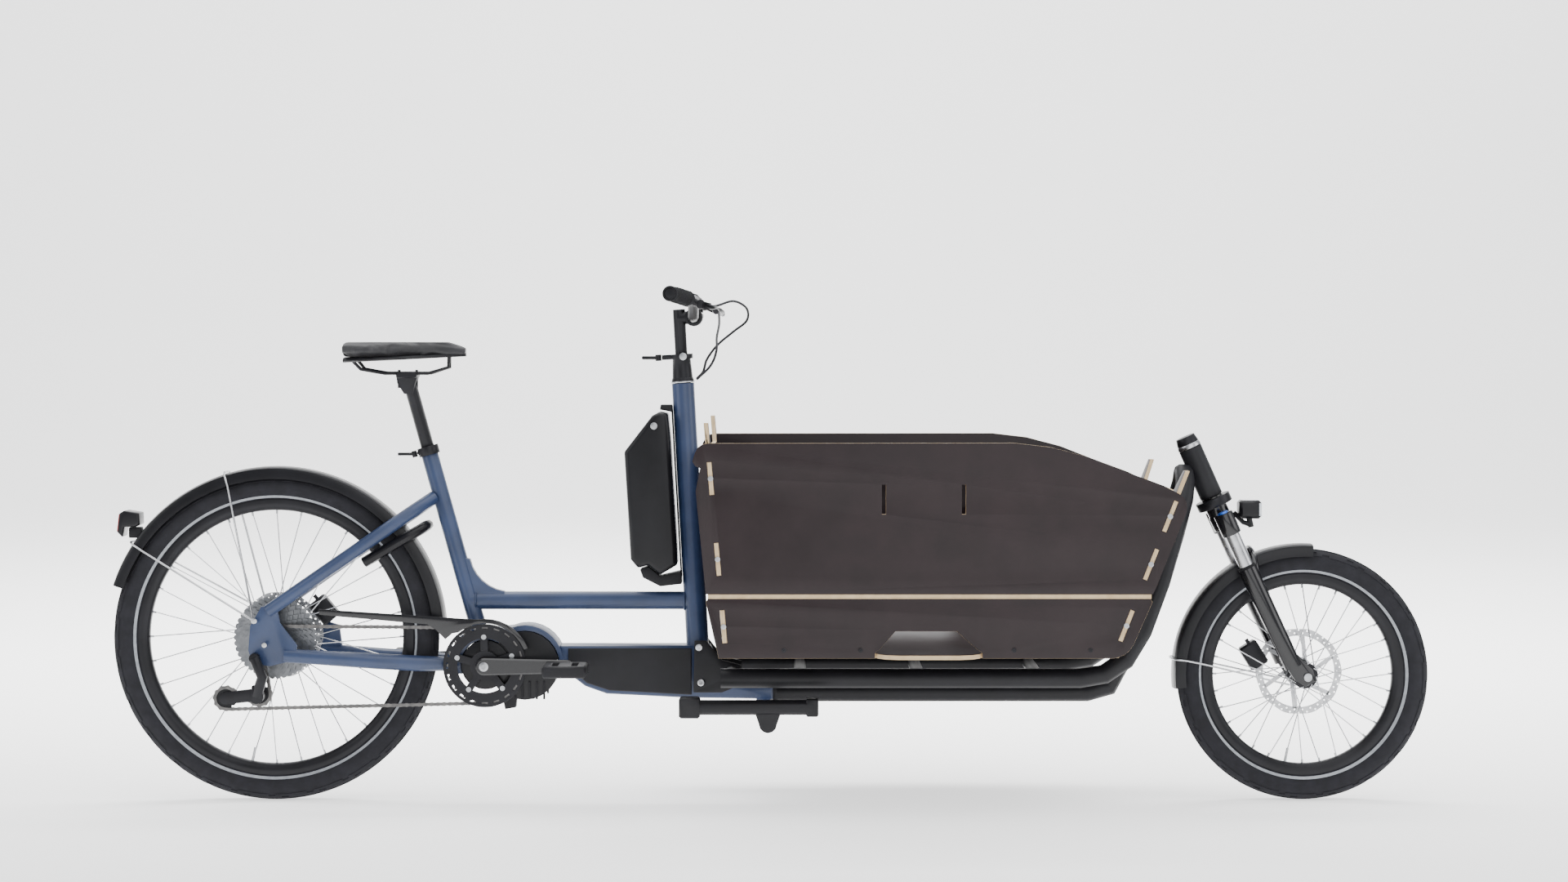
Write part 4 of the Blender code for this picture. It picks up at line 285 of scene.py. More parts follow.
edge_across_y = sawn_edge("sawn_plywood_edge_side", "Y")
edge_across_x = sawn_edge("sawn_plywood_edge_end", "X")
edge_across_z = sawn_edge("sawn_plywood_edge_flat", "Z")
print("veneers", VENEER_MM, "mm")

# %% [markdown]
# ## Shape helpers
# Round things are drawn as an outline and spun about their axle, as on a lathe. An operator acts on
# all that is selected, so a piece is first selected alone, and its faces are then picked by their
# place. A finished piece has its place applied, so that its object sits at the origin, gets its
# finish, and rides on the body that it belongs to.

# %% Selecting, finishing and riding
def only(obj):
    """Leaves this object alone selected, and active."""
    bpy.ops.object.select_all(action="DESELECT")
    obj.select_set(True)
    bpy.context.view_layer.objects.active = obj
    return obj


def settle(obj, name, body, materials, smooth_deg=44, stands_for=()):
    """Applies the piece's place, dresses it, smooths it by angle and lets it ride on a body."""
    only(obj)
    if obj.type != "MESH":
        bpy.ops.object.convert(target="MESH")
    bpy.ops.object.transform_apply(location=True, rotation=True, scale=True)
    obj.name = name
    if not obj.data.materials:
        for finish_of in materials:
            obj.data.materials.append(finish_of)
    bpy.ops.object.shade_smooth_by_angle(angle=math.radians(smooth_deg))
    if stands_for:
        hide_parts(*stands_for)
    if body:
        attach(obj, body)
    return obj


def tidy_mesh(obj, merge=0.00002):
    """Merges doubled points and turns every face outwards."""
    only(obj)
    bpy.ops.object.mode_set(mode="EDIT")
    bpy.ops.mesh.select_all(action="SELECT")
    bpy.ops.mesh.remove_doubles(threshold=merge)
    bpy.ops.mesh.normals_make_consistent(inside=False)
    bpy.ops.object.mode_set(mode="OBJECT")
    return obj


def apply_modifier(obj, kind, **settings):
    """Adds a modifier with these settings and applies it."""
    only(obj)
    modifier = obj.modifiers.new(kind.lower(), kind)
    for key, value in settings.items():
        setattr(modifier, key, value)
    bpy.ops.object.modifier_apply(modifier=modifier.name)
    return obj

# %% Drawing an outline and spinning it
def outline(points):
    """Edges through the points, drawn by extruding one vertex from each point to the next."""
    bpy.ops.object.select_all(action="DESELECT")
    bpy.ops.mesh.primitive_plane_add(size=0.01, location=(0, 0, 0))
    obj = bpy.context.active_object
    bpy.ops.object.mode_set(mode="EDIT")
    bpy.ops.mesh.select_mode(type="VERT")
    bpy.ops.mesh.merge(type="CENTER")
    bpy.ops.transform.translate(value=points[0])
    for a, b in zip(points, points[1:]):
        bpy.ops.mesh.extrude_region_move(TRANSFORM_OT_translate={"value": Vector(b) - Vector(a)})
    bpy.ops.object.mode_set(mode="OBJECT")
    return obj


def spun(profile, centre, steps, close=True, start_deg=0.0, sweep_deg=360.0):
    """A profile of (radius, y) pairs spun about the y axis through a centre."""
    points = [(centre[0] + r * math.cos(math.radians(start_deg)), centre[1] + y,
               centre[2] + r * math.sin(math.radians(start_deg))) for r, y in profile]
    obj = outline(points + points[:1] if close else points)
    bpy.ops.object.mode_set(mode="EDIT")
    bpy.ops.mesh.select_all(action="SELECT")
    bpy.ops.mesh.spin(steps=steps, angle=math.radians(sweep_deg), center=centre, axis=(0, 1, 0))
    bpy.ops.object.mode_set(mode="OBJECT")
    return tidy_mesh(obj)

# %% Picking faces
def faces_where(obj, test):
    """Selects the faces whose centre and normal pass a test, and leaves the object in edit mode."""
    only(obj)
    bpy.ops.object.mode_set(mode="EDIT")
    bpy.ops.mesh.select_mode(type="FACE")
    bpy.ops.mesh.select_all(action="DESELECT")
    bpy.ops.object.mode_set(mode="OBJECT")
    for face in obj.data.polygons:
        face.select = test(face.center, face.normal)
    bpy.ops.object.mode_set(mode="EDIT")


def paint(obj, slot_index, test):
    """Gives the faces that pass a test another of the object's materials."""
    for face in obj.data.polygons:
        if test(face.center, face.normal):
            face.material_index = slot_index
    return obj


print("helpers ready for", len(nodes), "solids")

# %% [markdown]
# ## Tyres
# A city tyre this wide is a round casing with a shallow tread moulded on it: a middle rib and rows
# of blocks split by slanted grooves. A grey reflective band runs round each side near the rim. The
# section is drawn with a point at each edge of the band and of the tread, and spun about the axle.
# The faces of the blocks are then selected by their place, inset and lifted, which leaves the
# grooves between them. A displacement could draw the tread too, but its edges would be soft.

# %% Tyre
TREAD_HEIGHT = 1.5 * MM
CASING_R = 26.9 * MM  # the round section's radius with its tread
TREAD_FROM, TREAD_TO = 30, 150  # degrees round the section, from the tyre's left side
TREAD_ROWS = 11
MIDDLE_ROW = TREAD_ROWS // 2
GROOVE_EVERY = 6  # faces round the tyre from one groove to the next


def tyre(node_name, body, axle, radius, bead, stripe, steps):
    casing = CASING_R - TREAD_HEIGHT
    centre_r = radius - CASING_R

    def section(degrees):
        a = math.radians(degrees)
        return centre_r + casing * math.sin(a), casing * math.cos(a)

    half = [(bead + 0.0006, 0.0110)]
    for r in stripe:
        half.append((r, math.sqrt(max(casing**2 - (r - centre_r) ** 2, 0.0001**2))))
    lowest = math.degrees(math.asin((stripe[1] - centre_r) / casing))
    half += [section(angle) for angle in (lowest * 0.55, lowest * 0.1, 16, TREAD_FROM)]
    row_width = (TREAD_TO - TREAD_FROM) / TREAD_ROWS
    crown = [section(TREAD_FROM + row_width * i) for i in range(1, TREAD_ROWS)]
    profile = half + crown + [(r, -y) for r, y in reversed(half)]
    obj = spun(profile, axle, steps)
    step = 2 * math.pi / steps

    def row_of(point):
        r = math.hypot(point.x - axle[0], point.z - axle[2])
        angle = math.degrees(math.atan2(r - centre_r, point.y))
        return int((angle - TREAD_FROM) / row_width) if TREAD_FROM < angle < TREAD_TO else -1

    def is_block(point, normal):
        row = row_of(point)
        from_middle = abs(row - MIDDLE_ROW)
        if row < 0 or from_middle == 2:  # the side wall, or a groove between two rows
            return False
        place = int((math.atan2(point.z - axle[2], point.x - axle[0]) + math.pi) / step)
        return from_middle == 0 or (place + 2 * from_middle) % GROOVE_EVERY > 0

    faces_where(obj, is_block)
    bpy.ops.mesh.inset(thickness=0.0006, depth=0.0, use_individual=False)
    bpy.ops.mesh.extrude_region_shrink_fatten(
        TRANSFORM_OT_shrink_fatten={"value": TREAD_HEIGHT})
    bpy.ops.object.mode_set(mode="OBJECT")
    settle(obj, node_name + "_moulded", body, [tyre_rubber, reflex_tape], 32, (node_name,))
    low, high = stripe

    def in_stripe(point, normal):
        return low < math.hypot(point.x - axle[0], point.z - axle[2]) < high

    return paint(obj, 1, in_stripe)


REAR_AXLE = (-1.017, 0.0, 0.3345)
FRONT_AXLE = (1.0935, 0.0, 0.258)
rear_radius = (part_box("rear_tyre")[1].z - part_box("rear_tyre")[0].z) / 2
front_radius = (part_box("front_tyre")[1].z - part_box("front_tyre")[0].z) / 2
REAR_BEAD, FRONT_BEAD = 0.2795, 0.203
rear_tyre = tyre("rear_tyre", "rear_wheel", REAR_AXLE, rear_radius, REAR_BEAD,
                 (0.2865, 0.2915), 156)
front_tyre = tyre("front_tyre", "front_wheel", FRONT_AXLE, front_radius, FRONT_BEAD,
                  (0.2100, 0.2150), 120)
print("tyres", len(rear_tyre.data.polygons), len(front_tyre.data.polygons), "faces")

# %% [markdown]
# ## Rims, spokes and hubs
# A rim is a rolled and welded channel: two hooked walls that hold the tyre and a rounded base with
# a hole for each spoke. It is spun with many more steps than the CAD ring so that it looks round.
# A nipple screws on each spoke's end from inside the rim. Only its short shank shows below the
# rim, so one small eight-sided shank is made and copied to every spoke.

# %% Directions in a wheel's plane, and copies of a piece
def ray(angle):
    """The direction in a wheel's plane at an angle, from +X towards +Z."""
    return Vector((math.cos(angle), 0, math.sin(angle)))


def standing(place, direction, turn_deg=0.0):
    """A matrix that stands a piece modelled along +Z at a place, along a direction."""
    along = Vector(direction).normalized()
    turned = along.to_track_quat("Z", "Y").to_matrix().to_4x4()
    return Matrix.Translation(place) @ turned @ Matrix.Rotation(math.radians(turn_deg), 4, "Z")


def scattered(pattern, places, name):
    """Copies of one modelled piece, each with its own mesh, joined into one object."""
    copies = []
    for place in places:
        copy = pattern.copy()
        copy.data = pattern.data.copy()
        copy.matrix_world = place
        bpy.context.scene.collection.objects.link(copy)
        copies.append(copy)
    bpy.data.objects.remove(pattern)
    only(copies[0])
    for copy in copies:
        copy.select_set(True)
    bpy.ops.object.join()
    joined = bpy.context.active_object
    joined.name = name
    return joined


def joined(*objects):
    """Joins the objects into the first one."""
    only(objects[0])
    for obj in objects:
        obj.select_set(True)
    bpy.ops.object.join()
    return bpy.context.active_object

# %% Rim with nipples and valve
RIM_DEPTH, RIM_HALF, RIM_WALL = 0.019, 0.015, 0.0027
SPOKES = 32
VALVE_DEG = 259  # the valve is near the wheel's foot


def rim(node_name, body, axle, bead, steps):
    inner = RIM_HALF - RIM_WALL
    base = bead - RIM_DEPTH
    wall = [(bead + 0.0034, RIM_HALF - 0.0008), (bead + 0.0028, inner), (bead, inner)]
    outside = [(bead - 0.004, RIM_HALF), (bead - 0.009, RIM_HALF - 0.0006),
               (bead - 0.014, 0.0115), (base + 0.0015, 0.0085), (base, 0.0050)]
    profile = wall + [(r, -y) for r, y in reversed(wall)]
    profile += [(r, -y) for r, y in outside] + list(reversed(outside))
    ring = spun(profile, axle, steps)
    bpy.ops.mesh.primitive_cylinder_add(vertices=8, radius=0.0022, depth=0.009)
    pattern = bpy.context.active_object
    spokewards = [ray(2 * math.pi * i / SPOKES) for i in range(SPOKES)]
    places = [standing(Vector(axle) + out * (base - 0.003), out) for out in spokewards]
    nipples = scattered(pattern, places, node_name + "_nipples")
    nipples.data.materials.append(zinc_steel)
    ring.data.materials.append(black_anodised)
    bpy.ops.mesh.primitive_cylinder_add(vertices=12, radius=0.0028, depth=0.030)
    valve = bpy.context.active_object
    out = ray(math.radians(VALVE_DEG))
    valve.matrix_world = standing(Vector(axle) + out * (base - 0.013), out)
    valve.data.materials.append(zinc_steel)
    return settle(joined(ring, nipples, valve), node_name + "_rolled", body, [], 40,
                  (node_name,))


rear_rim = rim("rear_rim", "rear_wheel", REAR_AXLE, REAR_BEAD, 144)
front_rim = rim("front_rim", "front_wheel", FRONT_AXLE, FRONT_BEAD, 120)
print("rims", len(rear_rim.data.polygons), len(front_rim.data.polygons), "faces")

# %% [markdown]
# A hub is turned aluminium: a barrel with two flanges, drilled for the spokes. Its outline is spun
# about the axle. Each of the thirty-two spokes leaves its flange nearly at a tangent, and its head
# sits by turns inside and outside the flange, so that neighbours cross. One spoke a metre long is
# modelled, and each copy is shortened to its own span.

# %% Hub with spokes
HOLE_CIRCLE_R = 0.023
SPOKE_LEAN_DEG = 62  # how far round the hub a spoke's head is from its nipple


def hub(node_name, body, axle, bead, half_length, flanges):
    profile = [(0.0, -half_length), (0.0062, -half_length), (0.0062, -half_length + 0.010),
               (0.0078, -half_length + 0.010), (0.0078, flanges[0] - 0.0055),
               (0.0155, flanges[0] - 0.0035), (0.0268, flanges[0] - 0.0018),
               (0.0268, flanges[0] + 0.0018), (0.0175, flanges[0] + 0.0030),
               (0.0140, flanges[0] + 0.012), (0.0140, flanges[1] - 0.012),
               (0.0175, flanges[1] - 0.0030), (0.0268, flanges[1] - 0.0018),
               (0.0268, flanges[1] + 0.0018), (0.0155, flanges[1] + 0.0035),
               (0.0078, flanges[1] + 0.0055), (0.0078, half_length - 0.010),
               (0.0062, half_length - 0.010), (0.0062, half_length), (0.0, half_length)]
    shell = spun(profile, axle, 48, close=False)
    shell.data.materials.append(black_anodised)
    bpy.ops.mesh.primitive_cylinder_add(vertices=8, radius=0.00115, depth=1.0)
    pattern = bpy.context.active_object
    rim_r = bead - RIM_DEPTH - 0.001
    places = []
    for i in range(SPOKES):
        flange = flanges[i % 2]
        outside = 1 if (i // 2) % 2 else -1
        away = 1 if flange > 0 else -1
        at_rim = 2 * math.pi * i / SPOKES
        at_hub = at_rim + outside * math.radians(SPOKE_LEAN_DEG)
        head_y = flange + away * outside * 0.0022
        nipple_y = away * (0.0035 + outside * 0.0016)
        start = Vector(axle) + ray(at_hub) * HOLE_CIRCLE_R + Vector((0, head_y, 0))
        stop = Vector(axle) + ray(at_rim) * rim_r + Vector((0, nipple_y, 0))
        stretch = Matrix.Diagonal((1, 1, (stop - start).length, 1))
        places.append(standing((start + stop) / 2, stop - start) @ stretch)
    spokes = scattered(pattern, places, node_name + "_spokes")
    spokes.data.materials.append(stainless)
    return settle(joined(shell, spokes), node_name + "_turned", body, [], 40, (node_name,))


rear_hub = hub("rear_hub", "rear_wheel", REAR_AXLE, REAR_BEAD, 0.0740, (-0.008, 0.033))
front_hub = hub("front_hub", "front_wheel", FRONT_AXLE, FRONT_BEAD, 0.0545, (-0.033, 0.033))
print("hubs", len(rear_hub.data.polygons), len(front_hub.data.polygons), "faces")

# %% [markdown]
# ## Brake discs
# A disc is laser-cut from 2 mm stainless sheet. Its ring is pierced by small holes that shed water
# and heat, and its rim is gently waved. The ring is spun, its outer edge is moved in and out by a
# wave, and the holes are cut by a Boolean with one object that holds all the drills.

# %% Laying a bar in the disc's plane
def lying(middle, out, size):
    """A matrix that lays a unit cube at a place, sized across, along the axle and outwards."""
    axle = Vector((0, 1, 0))
    turned = Matrix((out.cross(axle), axle, out)).transposed().to_4x4()
    return Matrix.Translation(middle) @ turned @ Matrix.Diagonal((*size, 1))

# %% Brake disc
DISC_R, DISC_THICK, DISC_Y = 0.090, 0.002, 0.041
DISC_HOLES = 30
DISC_ARMS = 6
ARM_SWEEP = 0.42  # how far round, in radians, an arm's outer end leads its inner end


def brake_disc(node_name, body, axle):
    low, high = DISC_Y - DISC_THICK / 2 + 0.0001, DISC_Y + DISC_THICK / 2 - 0.0001
    ring = spun([(DISC_R - 0.016, low), (DISC_R - 0.0005, low), (DISC_R - 0.0005, high),
                 (DISC_R - 0.016, high)], axle, 150)
    for vertex in ring.data.vertices:
        across = Vector((vertex.co.x - axle[0], 0, vertex.co.z - axle[2]))
        wave = math.cos(10 * math.atan2(across.z, across.x)) - 1
        if across.length > DISC_R - 0.005:
            vertex.co += across.normalized() * 0.0009 * wave
    bpy.ops.mesh.primitive_cylinder_add(vertices=10, radius=0.0019, depth=0.02)
    pattern = bpy.context.active_object
    disc_middle = Vector(axle) + Vector((0, DISC_Y, 0))
    places = []
    for i in range(2 * DISC_HOLES):
        r = DISC_R - (0.0045 if i % 2 else 0.0105)
        places.append(standing(disc_middle + ray(math.pi * i / DISC_HOLES) * r, (0, 1, 0)))
    drills = scattered(pattern, places, "drills")
    apply_modifier(ring, "BOOLEAN", object=drills, operation="DIFFERENCE")
    bpy.data.objects.remove(drills)
    ring.data.materials.clear()
    carrier = spun([(0.0166, low), (0.030, low), (0.030, high), (0.0166, high)], axle, 48)
    bpy.ops.mesh.primitive_cube_add(size=1)
    arm = bpy.context.active_object
    places = []
    for i in range(DISC_ARMS):
        a = 2 * math.pi * i / DISC_ARMS
        start, stop = ray(a) * 0.027, ray(a + ARM_SWEEP) * 0.077
        reach = stop - start
        places.append(lying(disc_middle + (start + stop) / 2, reach.normalized(),
                            (0.0085, DISC_THICK - 0.0002, reach.length)))
    arms = scattered(arm, places, "disc_arms")
    for piece in (ring, carrier, arms):
        piece.data.materials.append(stainless)
    return settle(joined(ring, carrier, arms), node_name + "_cut", body, [], 30, (node_name,))


rear_disc = brake_disc("rear_rotor", "rear_wheel", REAR_AXLE)
front_disc = brake_disc("front_rotor", "front_wheel", FRONT_AXLE)
print("discs", len(rear_disc.data.polygons), len(front_disc.data.polygons), "faces")

# %% [markdown]
# ## Drivetrain
# A sprocket is stamped from sheet steel: a flat ring with one tooth for each link of the chain. It
# is spun with four steps to a tooth, and the outer points are then moved in for a root and out for
# a tip. Extruding each tooth from a plain ring would also do, with many more steps.

# %% Sprockets
CHAIN_PITCH = 0.0127
CHAIN_Y = -0.054
CRANK_PLACE = (-0.583, 0.0, 0.281)
UPPER_JOCKEY = (-1.043, 0.0, 0.222)
LOWER_JOCKEY = (-1.112, 0.0, 0.214)


def pitch_radius(teeth):
    return CHAIN_PITCH / (2 * math.sin(math.pi / teeth))


def sprocket(teeth, centre, y, thickness, bore, metal, root=0.0040, tip=0.0034):
    """A flat toothed ring round a centre, with its middle plane at y."""
    across = pitch_radius(teeth)
    low, high = y - thickness / 2, y + thickness / 2
    ring = spun([(bore, low), (across, low), (across, high), (bore, high)], centre, 4 * teeth)
    for vertex in ring.data.vertices:
        flat = Vector((vertex.co.x - centre[0], 0, vertex.co.z - centre[2]))
        if flat.length < across - 0.001:
            continue
        quarter_tooth = round(math.atan2(flat.z, flat.x) / (2 * math.pi) * 4 * teeth)
        shift = (tip, -0.0004, -root, -0.0004)[quarter_tooth % 4]
        vertex.co += flat.normalized() * shift
    ring.data.materials.append(metal)
    return ring


print("pitch radius of 13 teeth", round(pitch_radius(13), 4), "m")

# %% [markdown]
# The cassette is nine stamped cogs on a splined carrier. The small ones are solid down to the
# carrier, and the larger ones are rings held by five arms each, which saves weight.

# %% Cassette
COG_PITCH = 0.0043
COGS = [(teeth, CHAIN_Y + COG_PITCH * i) for i, teeth in
        enumerate((13, 15, 18, 21, 24, 28, 32, 37, 42))]
RING_COG_TEETH = 20  # a cog with fewer teeth has no arms
COG_ARMS = 5
MOST_COG_R = 0.0850
cogs = []
for teeth, y in COGS:
    tall = min(0.0034, MOST_COG_R - pitch_radius(teeth))
    bore = 0.0172 if teeth < RING_COG_TEETH else pitch_radius(teeth) - 0.017
    cogs.append(sprocket(teeth, REAR_AXLE, y, 0.0019, bore, sprocket_steel, tip=tall))
carrier = spun([(0.0158, -0.0560), (0.0200, -0.0560), (0.0200, -0.0300), (0.0300, -0.0260),
                (0.0300, -0.0190), (0.0158, -0.0190)], REAR_AXLE, 32)
carrier.data.materials.append(black_anodised)
bpy.ops.mesh.primitive_cube_add(size=1)
arm_pattern = bpy.context.active_object
ARM_START = 0.018
arm_places = []
for teeth, y in COGS:
    if teeth < RING_COG_TEETH:
        continue
    reach = pitch_radius(teeth) - 0.014
    for i in range(COG_ARMS):
        out = ray(2 * math.pi * i / COG_ARMS + 0.3)
        middle = Vector(REAR_AXLE) + out * (reach + ARM_START) / 2 + Vector((0, y, 0))
        arm_places.append(lying(middle, out, (0.007, 0.0016, reach - ARM_START)))
cog_arms = scattered(arm_pattern, arm_places, "cog_arms")
cog_arms.data.materials.append(black_anodised)
cassette = settle(joined(*cogs, carrier, cog_arms), "cassette_stamped", "cassette", [], 30,
                  ("cassette",))
print("cassette", len(cassette.data.polygons), "faces")

# %% [markdown]
# Two small toothed wheels of moulded plastic lead the chain through the derailleur's cage. Each
# turns on a bearing under a pressed steel cover, so a thin web and a cover are spun in the middle.

# %% Guide wheels
def guide_wheel(name, body, centre):
    """A moulded guide wheel with a thin web and a pressed bearing cover."""
    wheel = sprocket(11, centre, CHAIN_Y, 0.0023, 0.0125, moulded_abs, 0.0036, 0.0006)
    web = spun([(0.0050, CHAIN_Y - 0.0008), (0.0130, CHAIN_Y - 0.0008),
                (0.0130, CHAIN_Y + 0.0008), (0.0050, CHAIN_Y + 0.0008)], centre, 24)
    web.data.materials.append(moulded_abs)
    cover = spun([(0.0030, CHAIN_Y - 0.0022), (0.0062, CHAIN_Y - 0.0022),
                  (0.0066, CHAIN_Y + 0.0022), (0.0030, CHAIN_Y + 0.0022)], centre, 20)
    cover.data.materials.append(stainless)
    return settle(joined(wheel, web, cover), name, body, [], 30, (body,))


guide_wheel("guide_wheel_upper", "jockey_upper", UPPER_JOCKEY)
lower_wheel = guide_wheel("guide_wheel_lower", "jockey_lower", LOWER_JOCKEY)
print("guide wheel", len(lower_wheel.data.polygons), "faces")

# %% [markdown]
# The chainring is bolted with a wider guard ring to a spider of five arms. The guard keeps the
# rider's clothes off the chain, and a row of slots makes it light. The slots are cut by one
# Boolean, as the disc's holes were.

# %% Chainring with guard and spider
GUARD_LOW, GUARD_HIGH = -0.0612, -0.0589
GUARD_SLOTS = 20
SPIDER_ARMS = 5
teeth_ring = sprocket(38, CRANK_PLACE, CHAIN_Y, 0.0021, 0.0600, chain_steel, tip=0.0028)
guard = spun([(0.0560, GUARD_LOW), (0.0845, GUARD_LOW), (0.0849, GUARD_LOW + 0.0006),
              (0.0849, GUARD_HIGH - 0.0006), (0.0845, GUARD_HIGH), (0.0560, GUARD_HIGH)],
             CRANK_PLACE, 120)
bpy.ops.mesh.primitive_cube_add(size=1)
slot_pattern = bpy.context.active_object
guard_middle = Vector(CRANK_PLACE) + Vector((0, GUARD_LOW, 0))
slot_places = []
for i in range(GUARD_SLOTS):
    out = ray(2 * math.pi * i / GUARD_SLOTS)
    slot_places.append(lying(guard_middle + out * 0.0765, out, (0.0125, 0.02, 0.0040)))
slot_cutter = scattered(slot_pattern, slot_places, "slot_cutter")
apply_modifier(guard, "BOOLEAN", object=slot_cutter, operation="DIFFERENCE")
bpy.data.objects.remove(slot_cutter)
guard.data.materials.clear()
guard.data.materials.append(black_anodised)
spider = spun([(0.0180, GUARD_LOW), (0.0300, GUARD_LOW), (0.0300, CHAIN_Y + 0.0012),
               (0.0180, CHAIN_Y + 0.0012)], CRANK_PLACE, 48)
spider.data.materials.append(black_anodised)
bpy.ops.mesh.primitive_cube_add(size=1)
spider_arm = bpy.context.active_object
bpy.ops.mesh.primitive_cylinder_add(vertices=16, radius=0.0052, depth=0.0022)
ring_bolt = bpy.context.active_object
arm_places, bolt_places = [], []
for i in range(SPIDER_ARMS):
    out = ray(2 * math.pi * i / SPIDER_ARMS + 0.35)
    middle = Vector(CRANK_PLACE) + out * 0.0440 + Vector((0, CHAIN_Y - 0.0030, 0))
    arm_places.append(lying(middle, out, (0.0150, 0.0070, 0.0380)))
    bolt_places.append(standing(guard_middle + out * 0.0585, (0, -1, 0)))
arms = scattered(spider_arm, arm_places, "spider_arms")
apply_modifier(arms, "BEVEL", width=0.0012, segments=2)
arms.data.materials.append(black_anodised)
bolts = scattered(ring_bolt, bolt_places, "ring_bolts")
bolts.data.materials.append(zinc_steel)
ring = joined(teeth_ring, guard, spider, arms, bolts)
settle(ring, "chainring_cut", "crankset", [], 30, ("chainring",))
print("chainring", len(ring.data.polygons), "faces")

# %% [markdown]
# ## Chain
# The route is a loop of arcs and straight runs: round the chainring, back along the bottom run,
# round both guide wheels and over the smallest cog. A tangent between two wheels is found from
# their distance and the difference of their radii, where the radius is negative for a wheel that
# the chain passes on its other side.

# %% Chain route
def tangent(first, first_r, second, second_r):
    """The ends of the straight run that leaves one directed circle and meets the next."""
    reach = Vector((second[0] - first[0], second[2] - first[2]))
    heading = math.atan2(reach.y, reach.x) - math.asin((second_r - first_r) / reach.length)
    off = Vector((math.sin(heading), -math.cos(heading)))
    start = Vector((first[0], first[2])) + off * first_r
    stop = Vector((second[0], second[2])) + off * second_r
    return start, stop


PATH_STEP = 0.0008


def chain_path():
    """Points along the chain. Those on an arc are under a millimetre apart."""
    jockey_r = pitch_radius(11)
    wheels = [(CRANK_PLACE, pitch_radius(38)), (REAR_AXLE, pitch_radius(13)),
              (UPPER_JOCKEY, -jockey_r), (LOWER_JOCKEY, jockey_r)]
    runs = [tangent(*wheels[i], *wheels[(i + 1) % len(wheels)]) for i in range(len(wheels))]
    path = []
    for i, (centre, radius) in enumerate(wheels):
        arrive, leave = runs[i - 1][1], runs[i][0]
        middle = Vector((centre[0], centre[2]))
        a = math.atan2(*(arrive - middle).yx)
        b = math.atan2(*(leave - middle).yx)
        turn = (b - a) % (2 * math.pi) if radius > 0 else -((a - b) % (2 * math.pi))
        steps = max(2, int(abs(turn * radius) / PATH_STEP))
        for k in range(steps + 1):
            t = a + turn * k / steps
            path.append(middle + abs(radius) * Vector((math.cos(t), math.sin(t))))
    return path + path[:1]


path = chain_path()
lengths = [0.0]
for a, b in zip(path, path[1:]):
    lengths.append(lengths[-1] + (b - a).length)
links = 2 * round(lengths[-1] / CHAIN_PITCH / 2)
stride = lengths[-1] / links


def along_path(distance):
    distance %= lengths[-1]
    for i in range(len(lengths) - 1):
        if lengths[i + 1] >= distance:
            share = (distance - lengths[i]) / max(lengths[i + 1] - lengths[i], 1e-9)
            return path[i].lerp(path[i + 1], share)
    return path[-1]


print("chain", links, "links of", round(stride * 1000, 3), "mm")

# %% [markdown]
# A chain alternates outer links, whose pins show, with inner links, whose rollers sit on the
# teeth. Each link has two plates with rounded ends and a waist. A plate is a short cylinder whose
# two halves are pulled apart, one link of each kind is modelled, and the copies are laid between
# neighbouring pins along the route.

# %% Chain links
def link_plate(y, thickness, height):
    """One plate of a link: a disc pulled apart to two ends with a waist between them."""
    bpy.ops.mesh.primitive_cylinder_add(vertices=16, radius=height / 2, depth=thickness)
    plate = bpy.context.active_object
    for vertex in plate.data.vertices:
        if abs(vertex.co.x) < 0.0001:
            vertex.co.y *= 0.70
        else:
            vertex.co.x += math.copysign(CHAIN_PITCH / 2, vertex.co.x)
    plate.matrix_world = Matrix.Translation((0, y, 0)) @ Matrix.Rotation(math.pi / 2, 4, "X")
    return plate


def link(plate_y, pin_radius, pin_length):
    """Two plates and the two pins or rollers between them."""
    plates = [link_plate(s * plate_y, 0.0009, 0.0082) for s in (-1, 1)]
    pins = []
    for s in (-1, 1):
        bpy.ops.mesh.primitive_cylinder_add(
            vertices=10, radius=pin_radius, depth=pin_length,
            location=(s * CHAIN_PITCH / 2, 0, 0), rotation=(math.pi / 2, 0, 0))
        pins.append(bpy.context.active_object)
    whole = joined(*plates, *pins)
    bpy.ops.object.transform_apply(location=True, rotation=True, scale=True)
    return whole


pin_at = [along_path(i * stride + stride / 4) for i in range(links)]
strings = []
LINK_KINDS = (("outer_links", 0.0026, 0.0016, 0.0064), ("inner_links", 0.0017, 0.0036, 0.0028))
for parity, (name, plate_y, pin_radius, pin_length) in enumerate(LINK_KINDS):
    places = []
    for i in range(parity, links, 2):
        a, b = pin_at[i], pin_at[(i + 1) % links]
        middle = Vector(((a.x + b.x) / 2, CHAIN_Y, (a.y + b.y) / 2))
        tilt = math.atan2(b.y - a.y, b.x - a.x)
        places.append(Matrix.Translation(middle) @ Matrix.Rotation(-tilt, 4, "Y"))
    strings.append(scattered(link(plate_y, pin_radius, pin_length), places, name))
chain = joined(*strings)
chain.data.materials.append(chain_steel)
settle(chain, "chain_of_links", "frame", [], 40, ("chain",))
print("chain", len(chain.data.polygons), "faces")

# %% [markdown]
# ## Cranks and pedals
# Many of the CAD solids have the right shape and only lack soft edges. A copy of such a solid has
# its loose triangles merged, its flat faces dissolved back into whole ones, and its sharp edges
# bevelled, since no forged, cast or sawn edge is perfectly sharp. The copy then stands for the
# solid. Cranks are forged and then painted, so theirs is a wide bevel. A bolt with a sunk socket
# closes each end of the axle. The pedals are wide plastic platforms with rows of studs that grip
# the sole.

# %% Softening a CAD solid
body_of = {n: b for b, members in frame["record"]["behaviour"]["bodies"].items() for n in members}


